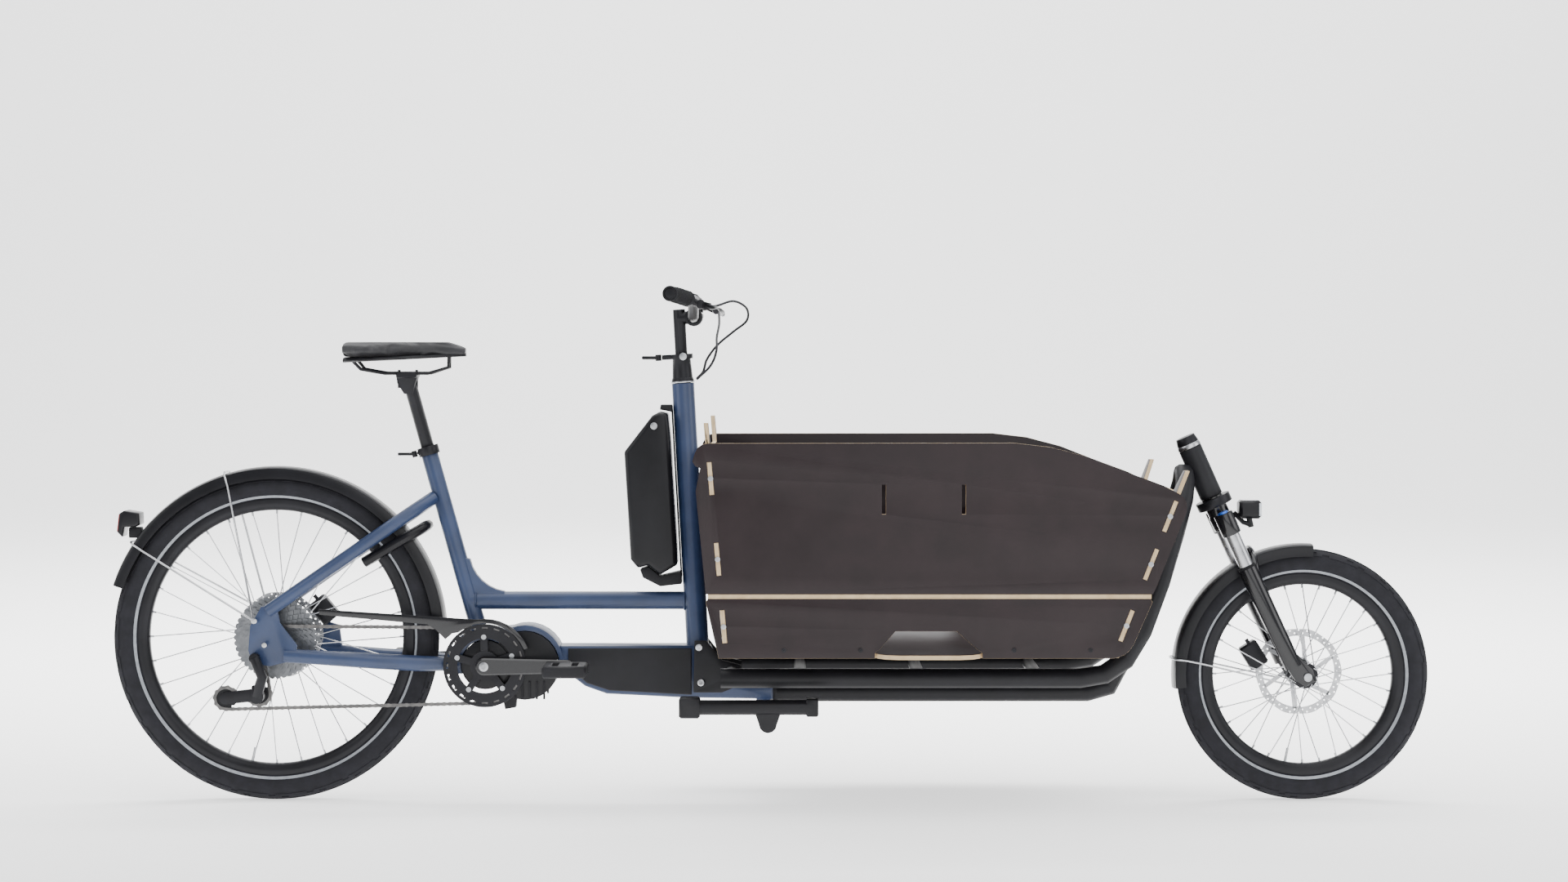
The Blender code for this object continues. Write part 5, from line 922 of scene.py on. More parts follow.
def softened(node_name, materials, edge_mm=0.8, sharp_deg=46, segments=2):
    """A copy of a CAD solid with merged points, whole flat faces and bevelled edges."""
    source = nodes[node_name]
    copy = bpy.data.objects.new(node_name + "_made", source.data.copy())
    bpy.context.scene.collection.objects.link(copy)
    copy.data.materials.clear()
    only(copy)
    bpy.ops.object.mode_set(mode="EDIT")
    bpy.ops.mesh.select_all(action="SELECT")
    bpy.ops.mesh.remove_doubles(threshold=0.00001)
    bpy.ops.mesh.dissolve_limited(angle_limit=math.radians(1.0))
    bpy.ops.object.mode_set(mode="OBJECT")
    if edge_mm:
        apply_modifier(copy, "BEVEL", width=edge_mm * MM, segments=segments,
                       limit_method="ANGLE", angle_limit=math.radians(sharp_deg),
                       use_clamp_overlap=True)
    return settle(copy, node_name + "_finished", body_of[node_name], materials,
                  stands_for=(node_name,))


# %% Cranks and their bolts
softened("crank_right", [gloss_black], 2.2, 60, 4)
softened("crank_left", [gloss_black], 2.2, 60, 4)
caps = []
for side_sign in (-1, 1):
    bpy.ops.mesh.primitive_cylinder_add(vertices=32, radius=0.0095, depth=0.0016)
    cap = bpy.context.active_object
    apply_modifier(cap, "BEVEL", width=0.0006, segments=2)
    faces_where(cap, lambda point, normal: normal.z > 0.9)
    bpy.ops.mesh.inset(thickness=0.0045, depth=-0.0009)
    bpy.ops.object.mode_set(mode="OBJECT")
    cap.matrix_world = standing((CRANK_PLACE[0], side_sign * 0.0833, CRANK_PLACE[2]),
                                (0, side_sign, 0))
    caps.append(cap)
crank_caps = joined(*caps)
crank_caps.data.materials.append(zinc_steel)
settle(crank_caps, "crank_bolts", "crankset", [], 30)
print("crank bolts", len(crank_caps.data.polygons), "faces")

# %% Pedals
CRANK_LENGTH = 0.170
STUD_ROWS = 5
STUD_ROW_PITCH = 0.0185
for tag, sign in (("right", -1), ("left", 1)):
    centre_x = CRANK_PLACE[0] - sign * CRANK_LENGTH
    softened(f"pedal_{tag}", [moulded_abs], 1.2, 40, 2)
    bpy.ops.mesh.primitive_cone_add(vertices=8, radius1=0.0024, radius2=0.0015, depth=0.0028)
    stud = bpy.context.active_object
    stud_places = []
    for face in (-1, 1):
        for i in range(STUD_ROWS):
            for edge in (-1, 1):
                x = centre_x + edge * 0.0375
                y = sign * (0.0983 + STUD_ROW_PITCH * i)
                z = CRANK_PLACE[2] + face * 0.0100
                stud_places.append(standing((x, y, z), (0, 0, face)))
    studs = scattered(stud, stud_places, f"pedal_{tag}_studs")
    studs.data.materials.append(grip_rubber)
    settle(studs, f"pedal_{tag}_studs", f"pedal_{tag}", [], 40)
    print("pedal", tag, len(stud_places), "studs")

# %% [markdown]
# ## Motor, chain guard and derailleur
# The motor hangs in the frame's cradle. Its housing is smooth, and its lower cover is a matt
# plastic moulding with upright ribs that stiffen it. The ribs are one bevelled bar, copied in a row
# on each side. The guard over the chain is a thin painted arch, and the derailleur is cast.

# %% Motor, chain guard and derailleur
COVER_TOP_Z = 0.245
RIBS = 7
RIB_PITCH = 0.0150
RIB_SIZE = (0.0042, 0.0016, 0.0360)
motor = softened("motor_unit", [smooth_abs, moulded_abs], 2.5, 40, 3)
paint(motor, 1, lambda point, normal: point.z < COVER_TOP_Z)
bpy.ops.mesh.primitive_cube_add(size=1)
rib = bpy.context.active_object
rib_places = []
for i in range(RIBS):
    for y in (-0.0468, 0.0506):
        rib_places.append(Matrix.Translation((-0.553 + RIB_PITCH * i, y, 0.2290))
                          @ Matrix.Diagonal((*RIB_SIZE, 1)))
ribs = scattered(rib, rib_places, "motor_ribs")
ribs.data.materials.append(moulded_abs)
apply_modifier(ribs, "BEVEL", width=0.0006, segments=2)
settle(ribs, "motor_ribs", "frame", [], 40)
softened("chain_guard", [gloss_black], 0.7, 40, 2)
softened("rear_derailleur", [black_anodised], 1.0, 50, 2)
print("motor", len(ribs.data.polygons), "rib faces")

# %% [markdown]
# ## Frame
# The blue rear frame and the black front frame are welded from aluminium tubes and powder-coated.
# The tubes, clamps, levers and covers already have their real shapes in the CAD model, so each is
# softened: its edges are eased by the radius that its making leaves, from half a millimetre on a
# turned clamp to four on the battery's moulded case. The wire stays are round already.

# %% Tubes, covers, clamps and levers
SOFTENED = (
    # solid, finish, edge radius in mm, sharpest angle left alone, steps round an edge
    ("rear_frame", blue_powder, 0.9, 50, 2),
    ("front_frame", black_powder, 0.9, 50, 2),
    ("keel_cover_right", moulded_abs, 1.5, 40, 3),
    ("keel_cover_left", moulded_abs, 1.5, 40, 3),
    ("kickstand", black_powder, 1.0, 50, 2),
    ("ring_lock", smooth_abs, 1.2, 50, 3),
    ("seat_clamp", black_anodised, 0.6, 50, 2),
    ("seat_lever", black_anodised, 1.0, 50, 3),
    ("seatpost", black_anodised, 0.6, 50, 2),
    ("saddle_frame", moulded_abs, 0.8, 50, 2),
    ("battery", smooth_abs, 4.0, 40, 5),
    ("battery_rail", moulded_abs, 1.0, 40, 2),
    ("rear_caliper", black_anodised, 1.2, 40, 2),
    ("front_caliper", black_anodised, 1.2, 40, 2),
    ("stem_sleeve", black_anodised, 0.8, 50, 2),
    ("stem_lever", black_anodised, 1.0, 50, 3),
    ("stem_tube", black_anodised, 0.8, 50, 2),
    ("rear_fender_stays", stainless, 0.0, 46, 2),
    ("handlebar", black_anodised, 0.8, 50, 2),
    ("brake_lever_right", black_anodised, 0.8, 50, 3),
    ("brake_lever_left", black_anodised, 0.8, 50, 3),
)
for node_name, coat, edge_mm, sharp_deg, segments in SOFTENED:
    softened(node_name, [coat], edge_mm, sharp_deg, segments)
print("softened", len(SOFTENED), "solids")

# %% [markdown]
# ## Boards of the box
# The box is sawn from 9 mm film-faced plywood, with tabs through slots at the corners. The film
# covers the two faces only, so every face that does not look along the board's thickness is a
# sawn edge and gets the veneer stripes.

# %% Boards
def board(node_name, thickness_axis, edge_finish):
    made = softened(node_name, [board_film, edge_finish], 0.6, 50, 2)
    return paint(made, 1, lambda point, normal: abs(normal.dot(thickness_axis)) < 0.5)


ACROSS, UP = Vector((0, 1, 0)), Vector((0, 0, 1))
for tag in ("right", "left"):
    board(f"side_upper_{tag}", ACROSS, edge_across_y)
    board(f"side_lower_{tag}", ACROSS, edge_across_y)
board("floor_board", UP, edge_across_z)
board("mid_frame", UP, edge_across_z)
board("rear_board", Vector((0.996, 0, 0.087)), edge_across_x)
front = board("front_board", Vector((0.928, 0, -0.371)), edge_across_x)
print("front board", len(front.data.polygons), "faces")

# %% [markdown]
# ## Fenders
# A fender is a thin moulded channel with rounded shoulders and straight sides. Its section is spun
# through the angle that it covers, in many more steps than the CAD arch, and its two open ends are
# then filled. The rear one ends in a small foot for the lamp, and the front one hangs in a stay
# of bent wire, which is a tube drawn through a few points.

# %% Drawing a tube
def tube(points, radius):
    """A smooth round tube through a few points."""
    bpy.ops.object.select_all(action="DESELECT")
    bpy.ops.curve.primitive_bezier_curve_add(location=(0, 0, 0))
    obj = bpy.context.active_object
    spline = obj.data.splines[0]
    spline.bezier_points.add(len(points) - 2)
    for knot, point in zip(spline.bezier_points, points):
        knot.co = point
        knot.handle_left_type = "AUTO"
        knot.handle_right_type = "AUTO"
        knot.radius = 1.0
    obj.data.dimensions = "3D"
    obj.data.resolution_u = 6
    obj.data.bevel_depth = radius
    obj.data.bevel_resolution = 3
    obj.data.use_fill_caps = True
    only(obj)
    bpy.ops.object.convert(target="MESH")
    return bpy.context.active_object

# %% Fender section
FENDER_HALF = 0.0328
FENDER_WALL = 0.0020


def fender_profile(radius):
    half = FENDER_HALF
    outer = [(radius - 0.0258, half), (radius - 0.0100, half), (radius - 0.0045, half * 0.92),
             (radius - 0.0021, half * 0.70), (radius - 0.0006, half * 0.35),
             (radius - 0.0002, 0.0)]
    outer += [(r, -y) for r, y in reversed(outer[:-1])]
    inner = [(r - FENDER_WALL if abs(y) < half * 0.95 else r, y * (1 - FENDER_WALL / half))
             for r, y in reversed(outer)]
    return outer + inner


def fender(axle, radius, start_deg, stop_deg, steps):
    shell = spun(fender_profile(radius), axle, steps, start_deg=start_deg,
                 sweep_deg=stop_deg - start_deg)
    only(shell)
    bpy.ops.object.mode_set(mode="EDIT")
    bpy.ops.mesh.select_all(action="DESELECT")
    bpy.ops.mesh.select_non_manifold()
    bpy.ops.mesh.edge_face_add()
    bpy.ops.mesh.select_all(action="SELECT")
    bpy.ops.mesh.normals_make_consistent(inside=False)
    bpy.ops.object.mode_set(mode="OBJECT")
    shell.data.materials.append(smooth_abs)
    return shell

# %% Both fenders with their fittings
rear_guard = fender(REAR_AXLE, 0.3515, 6, 162, 110)
bpy.ops.mesh.primitive_cube_add(size=1, location=(-1.307, 0, 0.549))
lamp_foot = bpy.context.active_object
lamp_foot.scale = (0.0258, 0.0238, 0.0218)
lamp_foot.data.materials.append(moulded_abs)
bpy.ops.object.transform_apply(location=True, rotation=True, scale=True)
apply_modifier(lamp_foot, "BEVEL", width=0.002, segments=2)
settle(joined(rear_guard, lamp_foot), "rear_fender_rolled", "frame", [], 40, ("rear_fender",))
front_guard = fender(FRONT_AXLE, 0.269, 86, 186, 80)
hoop_r = 0.2702
hoop_out = ray(math.radians(173))
hoop_half = [(FRONT_AXLE[0] - 0.036, 0.062, FRONT_AXLE[2] - 0.016)]
for reach, y in ((hoop_r - 0.030, 0.0364), (hoop_r - 0.006, 0.0354), (hoop_r, 0.0244)):
    hoop_half.append(tuple(Vector(FRONT_AXLE) + hoop_out * reach + Vector((0, y, 0))))
hoop = tube(hoop_half + [(x, -y, z) for x, y, z in reversed(hoop_half)], 0.0020)
hoop.data.materials.append(stainless)
front_guard = joined(front_guard, hoop)
settle(front_guard, "front_fender_rolled", "fork_lowers", [], 40, ("front_fender",))
print("front fender", len(front_guard.data.polygons), "faces")

# %% [markdown]
# ## Lamps
# Both lamps are small moulded cases. The tail lamp's red lens is its upper face that looks back,
# and the headlight's clear lens is its front face, with a clear strip in its top. The lenses are
# faces of the case that get their own material, because the joint between them is flush.

# %% Lamps
tail = softened("tail_light", [smooth_abs, red_lens], 2.0, 40, 3)
paint(tail, 1, lambda point, normal: normal.x < -0.55 and point.z > 0.556)
lamp = softened("headlight", [smooth_abs, clear_lens], 1.5, 40, 3)
paint(lamp, 1, lambda point, normal: (normal.x > 0.7 and point.x > 1.004)
      or (point.z > 0.6135 and 0.966 < point.x < 0.998 and abs(point.y) < 0.018))
print("headlight lens", sum(face.material_index for face in lamp.data.polygons), "faces")

# %% [markdown]
# ## Fork
# A suspension fork's stanchions are ground and polished, and slide into painted magnesium legs
# through a dust seal. A crown joins them to the steerer. All of these are round bars, so each is
# a cone or cylinder with eased rims, stood along the steering axis, which leans back.

# %% Fork directions and round bars
STEER_AXIS = Vector((-0.406737, 0, 0.913545))
STEER_AHEAD = Vector((0.913545, 0, 0.406737))
CROWN = Vector((0.928, 0, 0.576))


def at_fork(along, ahead=0.0, y=0.0):
    return CROWN + STEER_AXIS * along + STEER_AHEAD * ahead + Vector((0, y, 0))


def rod(start, end, radius, sides=32, end_radius=None, metal=None, edge=0.0):
    """A round bar between two points, with an optional taper and eased rims."""
    start, end = Vector(start), Vector(end)
    bpy.ops.mesh.primitive_cone_add(vertices=sides, radius1=radius,
                                    radius2=radius if end_radius is None else end_radius,
                                    depth=(end - start).length)
    made = bpy.context.active_object
    if edge:
        apply_modifier(made, "BEVEL", width=edge, segments=2, limit_method="ANGLE",
                       angle_limit=math.radians(50))
    made.matrix_world = standing((start + end) / 2, end - start)
    only(made)
    bpy.ops.object.transform_apply(location=True, rotation=True, scale=True)
    if metal:
        made.data.materials.append(metal)
    return made

# %% Crown, steerer and stanchions
LEG_Y = 0.062
upper_parts = [
    rod(at_fork(0.1614), at_fork(0.170), 0.0249, 48, 0.0235, stainless, 0.0006),
    rod(at_fork(0.170), at_fork(0.1858), 0.0230, 48, 0.0198, black_anodised, 0.001),
    rod(at_fork(0.030), at_fork(0.048), 0.0368, 64, None, black_anodised, 0.001),
    rod(at_fork(0.000), at_fork(0.0506), 0.0223, 48, None, gloss_black, 0.0006),
    rod(at_fork(-0.020), at_fork(0.012), 0.0233, 48, None, gloss_black, 0.002),
    rod(at_fork(-0.006, 0, -LEG_Y), at_fork(-0.006, 0, LEG_Y), 0.0163, 40, None, gloss_black,
        0.001),
]
for s in (-1, 1):
    y = s * LEG_Y
    upper_parts.append(rod(at_fork(-0.215, 0, y), at_fork(0.012, 0, y), 0.0149, 48, None,
                           stainless))
    upper_parts.append(rod(at_fork(-0.030, 0, y), at_fork(0.0165, 0, y), 0.0198, 40, None,
                           gloss_black, 0.002))
    upper_parts.append(rod(at_fork(0.0155, 0, y), at_fork(0.0198, 0, y), 0.0125, 32, 0.0105,
                           blue_anodised if s < 0 else black_anodised, 0.0006))
fork_upper = joined(*upper_parts)
settle(fork_upper, "fork_upper_turned", "fork", [], 35, ("fork_upper",))
print("fork upper", len(fork_upper.data.polygons), "faces")

# %% Legs, seals and axle ends
softened("fork_lowers", [gloss_black], 1.2, 50, 3)
seals = []
for s in (-1, 1):
    ring_piece = spun([(0.0154, -0.105), (0.0188, -0.105), (0.0184, -0.1005), (0.0154, -0.0995)],
                      (0, 0, 0), 32)
    ring_piece.matrix_world = (Matrix.Translation(at_fork(0, 0, s * LEG_Y))
                               @ STEER_AXIS.to_track_quat("Y", "X").to_matrix().to_4x4())
    ring_piece.data.materials.append(grip_rubber)
    seals.append(ring_piece)
    seals.append(rod((FRONT_AXLE[0], s * 0.0690, FRONT_AXLE[2]),
                     (FRONT_AXLE[0], s * 0.0725, FRONT_AXLE[2]), 0.0090, 24, 0.0082, zinc_steel))
seals = joined(*seals)
settle(seals, "fork_seals_and_axle", "fork_lowers", [], 35)
print("seals", len(seals.data.polygons), "faces")

# %% [markdown]
# ## Grips
# A grip is a rubber sleeve moulded with fine rings that the hand holds, a little thicker in the
# middle. Its outline is drawn with four points to a ring and spun, then turned to lie on the bar,
# which sweeps back and rises. Rings in the outline stay sharp at the silhouette, as bump would not.

# %% Grips
GRIP_RINGS = 34


def bar_middle(y):
    """The bar's centre line at a distance from its middle: flat, rising, then swept back."""
    rise = min(max((abs(y) - 0.050) / 0.080, 0), 1)
    back = max(abs(y) - 0.130, 0)
    return Vector((-0.1586 + 0.004 * rise - 0.20 * back, y,
                   0.9915 + 0.034 * (3 * rise**2 - 2 * rise**3) + 0.05 * back))


for tag, s in (("right", -1), ("left", 1)):
    start, stop = bar_middle(s * 0.2055), bar_middle(s * 0.3345)
    along = (stop - start).normalized()
    length = (stop - start).length
    profile = [(0.0112, 0.0), (0.0150, 0.0), (0.0156, 0.0012)]
    for i in range(GRIP_RINGS):
        share = (i + 0.5) / GRIP_RINGS
        swell = 0.0143 + 0.0012 * math.sin(math.pi * min(share * 1.15, 1.0))
        t = 0.004 + share * (length - 0.010)
        profile += [(swell, t - 0.0010), (swell + 0.0006, t - 0.0004), (swell + 0.0006, t + 0.0006),
                    (swell, t + 0.0012)]
    profile += [(0.0154, length - 0.003), (0.0148, length - 0.0008), (0.0112, length)]
    made = spun(profile, (0, 0, 0), 40)
    made.matrix_world = (Matrix.Translation(start)
                         @ along.to_track_quat("Y", "Z").to_matrix().to_4x4())
    settle(made, f"grip_{tag}_ribbed", "handlebar", [grip_rubber], 40, (f"grip_{tag}",))
    print("grip", tag, round(length, 4), "m long")

# %% [markdown]
# ## Brake hoses
# Each hose is a plastic tube, 5 mm thick. It leaves the lever's reservoir, makes one free bow ahead
# of the steering column and goes into the column's cap. It is a curve with a round bevel, along
# the same route as its CAD solid.

# %% Hose routes
HOSE_THICK = 0.005
HOSE_ROUTES = {
    "right": [
        (-0.1290, -0.1395, 1.0135), (-0.110, -0.105, 1.014), (-0.076, -0.060, 1.024),
        (-0.050, -0.015, 1.010), (-0.050, 0.020, 0.985), (-0.078, 0.036, 0.962),
        (-0.110, 0.028, 0.935), (-0.132, 0.014, 0.905), (-0.1395, 0.006, 0.880),
        (-0.1525, 0.005, 0.8655),
    ],
    "left": [
        (-0.1290, 0.1395, 1.0135), (-0.112, 0.112, 1.006), (-0.108, 0.070, 0.980),
        (-0.112, 0.025, 0.950), (-0.112, -0.010, 0.922), (-0.124, -0.016, 0.892),
        (-0.1525, -0.005, 0.8640),
    ],
}


def through(points, per_span):
    """A smooth curve through the points: each span bends with its neighbours' directions."""
    points = [Vector(p) for p in points]
    ends = [2 * points[0] - points[1]] + points + [2 * points[-1] - points[-2]]
    path = []
    for i in range(1, len(ends) - 2):
        a, b, c, d = ends[i - 1 : i + 3]
        for k in range(per_span):
            t = k / per_span
            path.append(0.5 * (2 * b + (c - a) * t + (2 * a - 5 * b + 4 * c - d) * t**2
                               + (3 * b - a - 3 * c + d) * t**3))
    return path + points[-1:]

# %% Brake hoses
for tag, route in HOSE_ROUTES.items():
    line = through(route, 8)
    bpy.ops.curve.primitive_nurbs_path_add()
    hose = bpy.context.active_object
    hose.data.splines.clear()
    strand = hose.data.splines.new("POLY")
    strand.points.add(len(line) - 1)
    for knot, point in zip(strand.points, line):
        knot.co = (*point, 1)
    hose.matrix_world = Matrix.Identity(4)
    hose.data.dimensions = "3D"
    hose.data.bevel_depth = HOSE_THICK / 2
    hose.data.bevel_resolution = 3
    hose.data.use_fill_caps = True
    settle(hose, f"hose_{tag}_moulded", None, [hose_jacket], 60, (f"hose_{tag}",))
    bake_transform(hose)

# %% [markdown]
# ## Saddle
# The pad is foam under a stretched synthetic leather, which is a vinyl film embossed with a pebble
# pattern a millimetre or two across. The pebbles are the cells of a Voronoi texture, drawn as
# bump on top of a finer grain, and a little sheen lightens the edges.

# %% Saddle cover
saddle_vinyl = finish("synthetic_leather_cover", "#17171a", "#1e1e22", 0.50, 1.3, 0.55,
                      patch_mm=30)
saddle_vinyl.node_tree.nodes["Principled BSDF"].inputs["Sheen Weight"].default_value = 0.12
leather_tree = saddle_vinyl.node_tree
leather_place = add(leather_tree, "ShaderNodeTexCoord")
pebbles = add(leather_tree, "ShaderNodeTexVoronoi", {"Scale": 1 / (1.6 * MM)},
              {"Vector": leather_place.outputs["Object"]})
fine_bump = next(n for n in leather_tree.nodes if n.type == "BUMP")
pebble_bump = add(leather_tree, "ShaderNodeBump", {"Strength": 0.25, "Distance": 0.0003},
                  {"Height": pebbles.outputs["Distance"],
                   "Normal": fine_bump.outputs["Normal"]})
leather_tree.links.new(pebble_bump.outputs["Normal"],
                       leather_tree.nodes["Principled BSDF"].inputs["Normal"])

print("cover", saddle_vinyl.name)

# %% [markdown]
# A copy of the CAD block is made a little smaller, its edges are rounded and it is remeshed. A
# cloth simulation then blows it up, so that it crowns between its edges, while a cap on the travel
# keeps every point near where it started. A shallow channel is pressed down the middle of the top.
# Sculpting by hand would do, but pressure gives the even tension of a real cover.

# %% Saddle pad
PAD_SHRINK = Vector((0.985, 0.96, 0.94))
MOST_SWELL = 0.006
LAST_FRAME = 20
CHANNEL_DEPTH, CHANNEL_HALF = 0.0028, 0.010
CHANNEL_FROM, CHANNEL_TO = 0.10, 0.86  # as shares of the saddle's length, from its back
BOX_MARGIN = 0.0003
pad_low, pad_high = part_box("saddle_pad")
pad = bpy.data.objects.new("saddle_pad_sewn", nodes["saddle_pad"].data.copy())
bpy.context.scene.collection.objects.link(pad)
pad.data.materials.clear()
tidy_mesh(pad, 0.00001)
pad_middle = (pad_low + pad_high) / 2
for vertex in pad.data.vertices:
    for axis in range(3):
        vertex.co[axis] = pad_middle[axis] + (vertex.co[axis] - pad_middle[axis]) * PAD_SHRINK[axis]
apply_modifier(pad, "BEVEL", width=0.0055, segments=4, limit_method="ANGLE",
               angle_limit=math.radians(40))
apply_modifier(pad, "REMESH", mode="VOXEL", voxel_size=0.004, use_smooth_shade=True)
start_points = [v.co.copy() for v in pad.data.vertices]
only(pad)
cloth = pad.modifiers.new("cloth", "CLOTH")
cloth.settings.quality = 6
cloth.settings.use_pressure = True
cloth.settings.uniform_pressure_force = 4.0
cloth.settings.tension_stiffness = 25
cloth.settings.bending_stiffness = 1.5
cloth.settings.effector_weights.gravity = 0
cloth.point_cache.frame_start = 1
cloth.point_cache.frame_end = LAST_FRAME
for frame_number in range(1, LAST_FRAME + 1):
    bpy.context.scene.frame_set(frame_number)
bpy.ops.object.modifier_apply(modifier="cloth")
bpy.context.scene.frame_set(1)
for vertex, start in zip(pad.data.vertices, start_points):
    moved = vertex.co - start
    if moved.length > MOST_SWELL:
        vertex.co = start + moved.normalized() * MOST_SWELL
    channel = math.exp(-((start.y / CHANNEL_HALF) ** 2)) * CHANNEL_DEPTH
    along = (start.x - pad_low.x) / (pad_high.x - pad_low.x)
    if start.z > pad_middle.z and CHANNEL_FROM < along < CHANNEL_TO:
        share = (along - CHANNEL_FROM) / (CHANNEL_TO - CHANNEL_FROM)
        vertex.co.z -= channel * math.sin(math.pi * share)
    for axis in range(3):
        vertex.co[axis] = min(max(vertex.co[axis], pad_low[axis] + BOX_MARGIN),
                              pad_high[axis] - BOX_MARGIN)
apply_modifier(pad, "SUBSURF", levels=1, render_levels=1)
settle(pad, "saddle_pad_sewn", "seat", [saddle_vinyl], 180, ("saddle_pad",))
print("saddle pad", len(pad.data.polygons), "faces")

# %% [markdown]
# ## Fasteners
# Button-head bolts hold the boards to each other and to the frame, and join the front frame's
# cheek plates to the rear frame. A head is a short cylinder whose top face is inset three times:
# once raised for the dome, once for the socket's rim and once sunk for the socket, which is only
# some four millimetres across and is therefore left round. Each copy is turned a little from the
# one before, since nobody tightens bolts to the same angle.

# %% Button-head bolts
BOLT_TURN_DEG = 17


def button_bolt(radius, height):
    """A domed bolt head with a sunk socket, modelled along +Z from its underside."""
    bpy.ops.mesh.primitive_cylinder_add(vertices=24, radius=radius, depth=height,
                                        location=(0, 0, height / 2))
    head = bpy.context.active_object
    bpy.ops.object.transform_apply(location=True)
    faces_where(head, lambda point, normal: normal.z > 0.9)
    bpy.ops.mesh.inset(thickness=radius * 0.30, depth=height * 0.12)
    bpy.ops.mesh.inset(thickness=radius * 0.24, depth=0.0)
    bpy.ops.mesh.inset(thickness=radius * 0.03, depth=-height * 0.5)
    bpy.ops.object.mode_set(mode="OBJECT")
    return head


def bolt_row(name, body, places, radius, height, metal, direction):
    """Copies of one bolt at places, all pointing one way."""
    spots = [standing(place, direction, BOLT_TURN_DEG * i) for i, place in enumerate(places)]
    row = scattered(button_bolt(radius, height), spots, name)
    row.data.materials.append(metal)
    return settle(row, name, body, [], 35)

# %% Bolts on the boards, cheek plates and dropout
SIDE_Y = 0.3001
REAR_TABS_Z = (0.384, 0.516, 0.674)
FRONT_TABS_Z = (0.386, 0.506, 0.600)
SLOPE_REAR, SLOPE_FRONT = math.tan(math.radians(5)), math.tan(math.radians(21.8))
board_bolts = []
for z in REAR_TABS_Z:
    board_bolts.append((-0.103 - (z - 0.516) * SLOPE_REAR, z))
for z in FRONT_TABS_Z:
    board_bolts.append((0.745 + (z - 0.506) * SLOPE_FRONT, z))
for s, tag in ((-1, "right"), (1, "left")):
    bolt_row(f"tab_bolts_{tag}", "frame", [(x, s * SIDE_Y, z) for x, z in board_bolts],
             0.0052, 0.0022, zinc_steel, (0, s, 0))
    low_bolts = [(0.027 + 0.150 * i, 0.338) for i in range(5)]
    bolt_row(f"floor_bolts_{tag}", "frame",
             [(x, s * SIDE_Y, z) for x, z in low_bolts if not 0.19 < x < 0.43],
             0.0042, 0.0018, black_anodised, (0, s, 0))
    cheek_bolts = [(-0.147, 0.3165), (-0.143, 0.2445)]
    bolt_row(f"cheek_bolts_{tag}", "frame", [(x, s * 0.0429, z) for x, z in cheek_bolts],
             0.0068, 0.0036, stainless, (0, s, 0))
bolt_row("dropout_bolts_right", "frame",
         [(-1.0465, -0.0918, 0.375), (-1.0267, -0.0918, 0.3262)],
         0.0050, 0.0022, stainless, (0, -1, 0))
print("bolts at", len(board_bolts), "tabs a side")

# %% [markdown]
# Each wheel's axle ends in a flat hexagon of zinc-plated steel, a six-sided bar a millimetre thick.
# The stem's sleeve stands on a bright ring, and its clamp is closed by a round nut. Two small bolts
# close the clamp round the bar, and the battery's case has a round latch button.

# %% Axle ends
for x, z, reach, body in ((REAR_AXLE[0], REAR_AXLE[2], 0.0742, "rear_wheel"),
                          (FRONT_AXLE[0], FRONT_AXLE[2], 0.0547, "front_wheel")):
    for s in (-1, 1):
        nut = rod((x, s * (reach - 0.0008), z), (x, s * (reach + 0.0001), z), 0.0060, 6, None,
                  zinc_steel)
        settle(nut, f"axle_end_{body}_{'right' if s < 0 else 'left'}", body, [], 30)

# %% Stem ring, clamp nut and bar clamp bolts
COLUMN_AXIS = Vector((-0.05617, 0, 0.99842))
COLUMN_ACROSS = Vector((0.99842, 0, 0.05617))
COLUMN_TOP = Vector((-0.181, 0, 0.856))


def at_column(along, ahead=0.0, y=0.0):
    return COLUMN_TOP + COLUMN_AXIS * along + COLUMN_ACROSS * ahead + Vector((0, y, 0))


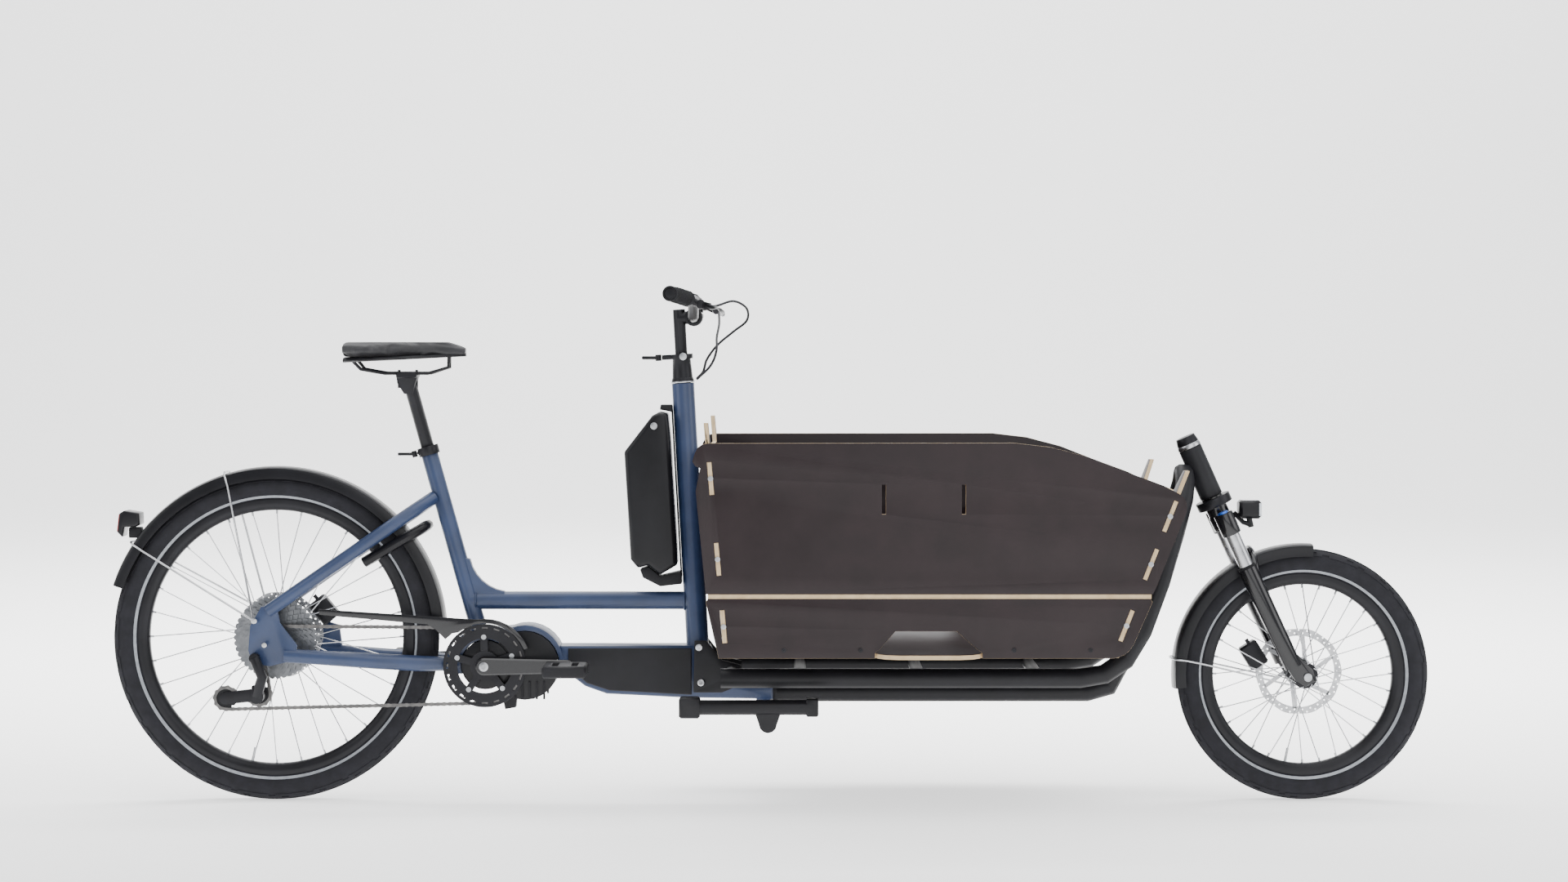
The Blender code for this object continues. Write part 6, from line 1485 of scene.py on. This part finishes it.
stem_bits = [
    rod(at_column(0.0012), at_column(0.0042), 0.0243, 48, None, stainless, 0.0005),
    rod(at_column(0.0550, 0.004, -0.0236), at_column(0.0550, 0.004, -0.0212), 0.0078, 32, 0.0070,
        zinc_steel, 0.0005),
]
settle(joined(*stem_bits), "stem_bright_parts", "steering", [], 35)
bar_clamp = at_column(0.134, 0.030)
clamp_bolts = [bar_clamp + Vector((0.0176, y, 0.0030)) for y in (-0.015, 0.015)]
bolt_row("bar_clamp_bolts", "handlebar", clamp_bolts, 0.0036, 0.0018, stainless, (1, 0, 0.1))

# %% Battery latch
latch = rod((-0.2390, -0.0452, 0.7690), (-0.2390, -0.0462, 0.7690), 0.0075, 28, 0.0070,
            zinc_steel, 0.0003)
settle(latch, "battery_latch", "battery", [], 35)
print("latch", len(latch.data.polygons), "faces")

# %% [markdown]
# A weld between aluminium tubes shows as a rounded bead of small overlapping ripples, under the
# same paint. The bead is half a ring's section spun round the tube, and its points are then moved
# in and out by a wave. The two ends of the main tube, which are in plain view, get one each.

# %% Weld beads
WELD_BEAD = 0.0021
WELD_RIPPLES = 46
WELD_SWELL = 0.10


def weld(name, centre, axis, radius):
    """A ring of overlapping ripples round a tube, where it is joined to another."""
    profile = [(radius + WELD_BEAD * math.cos(a), WELD_BEAD * math.sin(a))
               for a in (math.radians(d) for d in range(-90, 91, 30))]
    ring_bead = spun(profile, (0, 0, 0), WELD_RIPPLES * 2)
    for vertex in ring_bead.data.vertices:
        flat = Vector((vertex.co.x, 0, vertex.co.z))
        height = flat.length - radius
        wave = math.cos(WELD_RIPPLES * math.atan2(flat.z, flat.x))
        swell = 1 + WELD_SWELL * wave * height / WELD_BEAD
        vertex.co = flat.normalized() * (radius + height * swell) + Vector((0, vertex.co.y, 0))
    ring_bead.matrix_world = (Matrix.Translation(centre)
                              @ Vector(axis).to_track_quat("Y", "Z").to_matrix().to_4x4())
    return settle(ring_bead, name, "frame", [blue_powder], 60)


weld("weld_main_tube_rear", (-0.6060, 0, 0.409), (1, 0, 0), 0.0187)
bead = weld("weld_main_tube_front", (-0.1775, 0, 0.409), (1, 0, 0), 0.0187)
print("weld bead", len(bead.data.polygons), "faces")
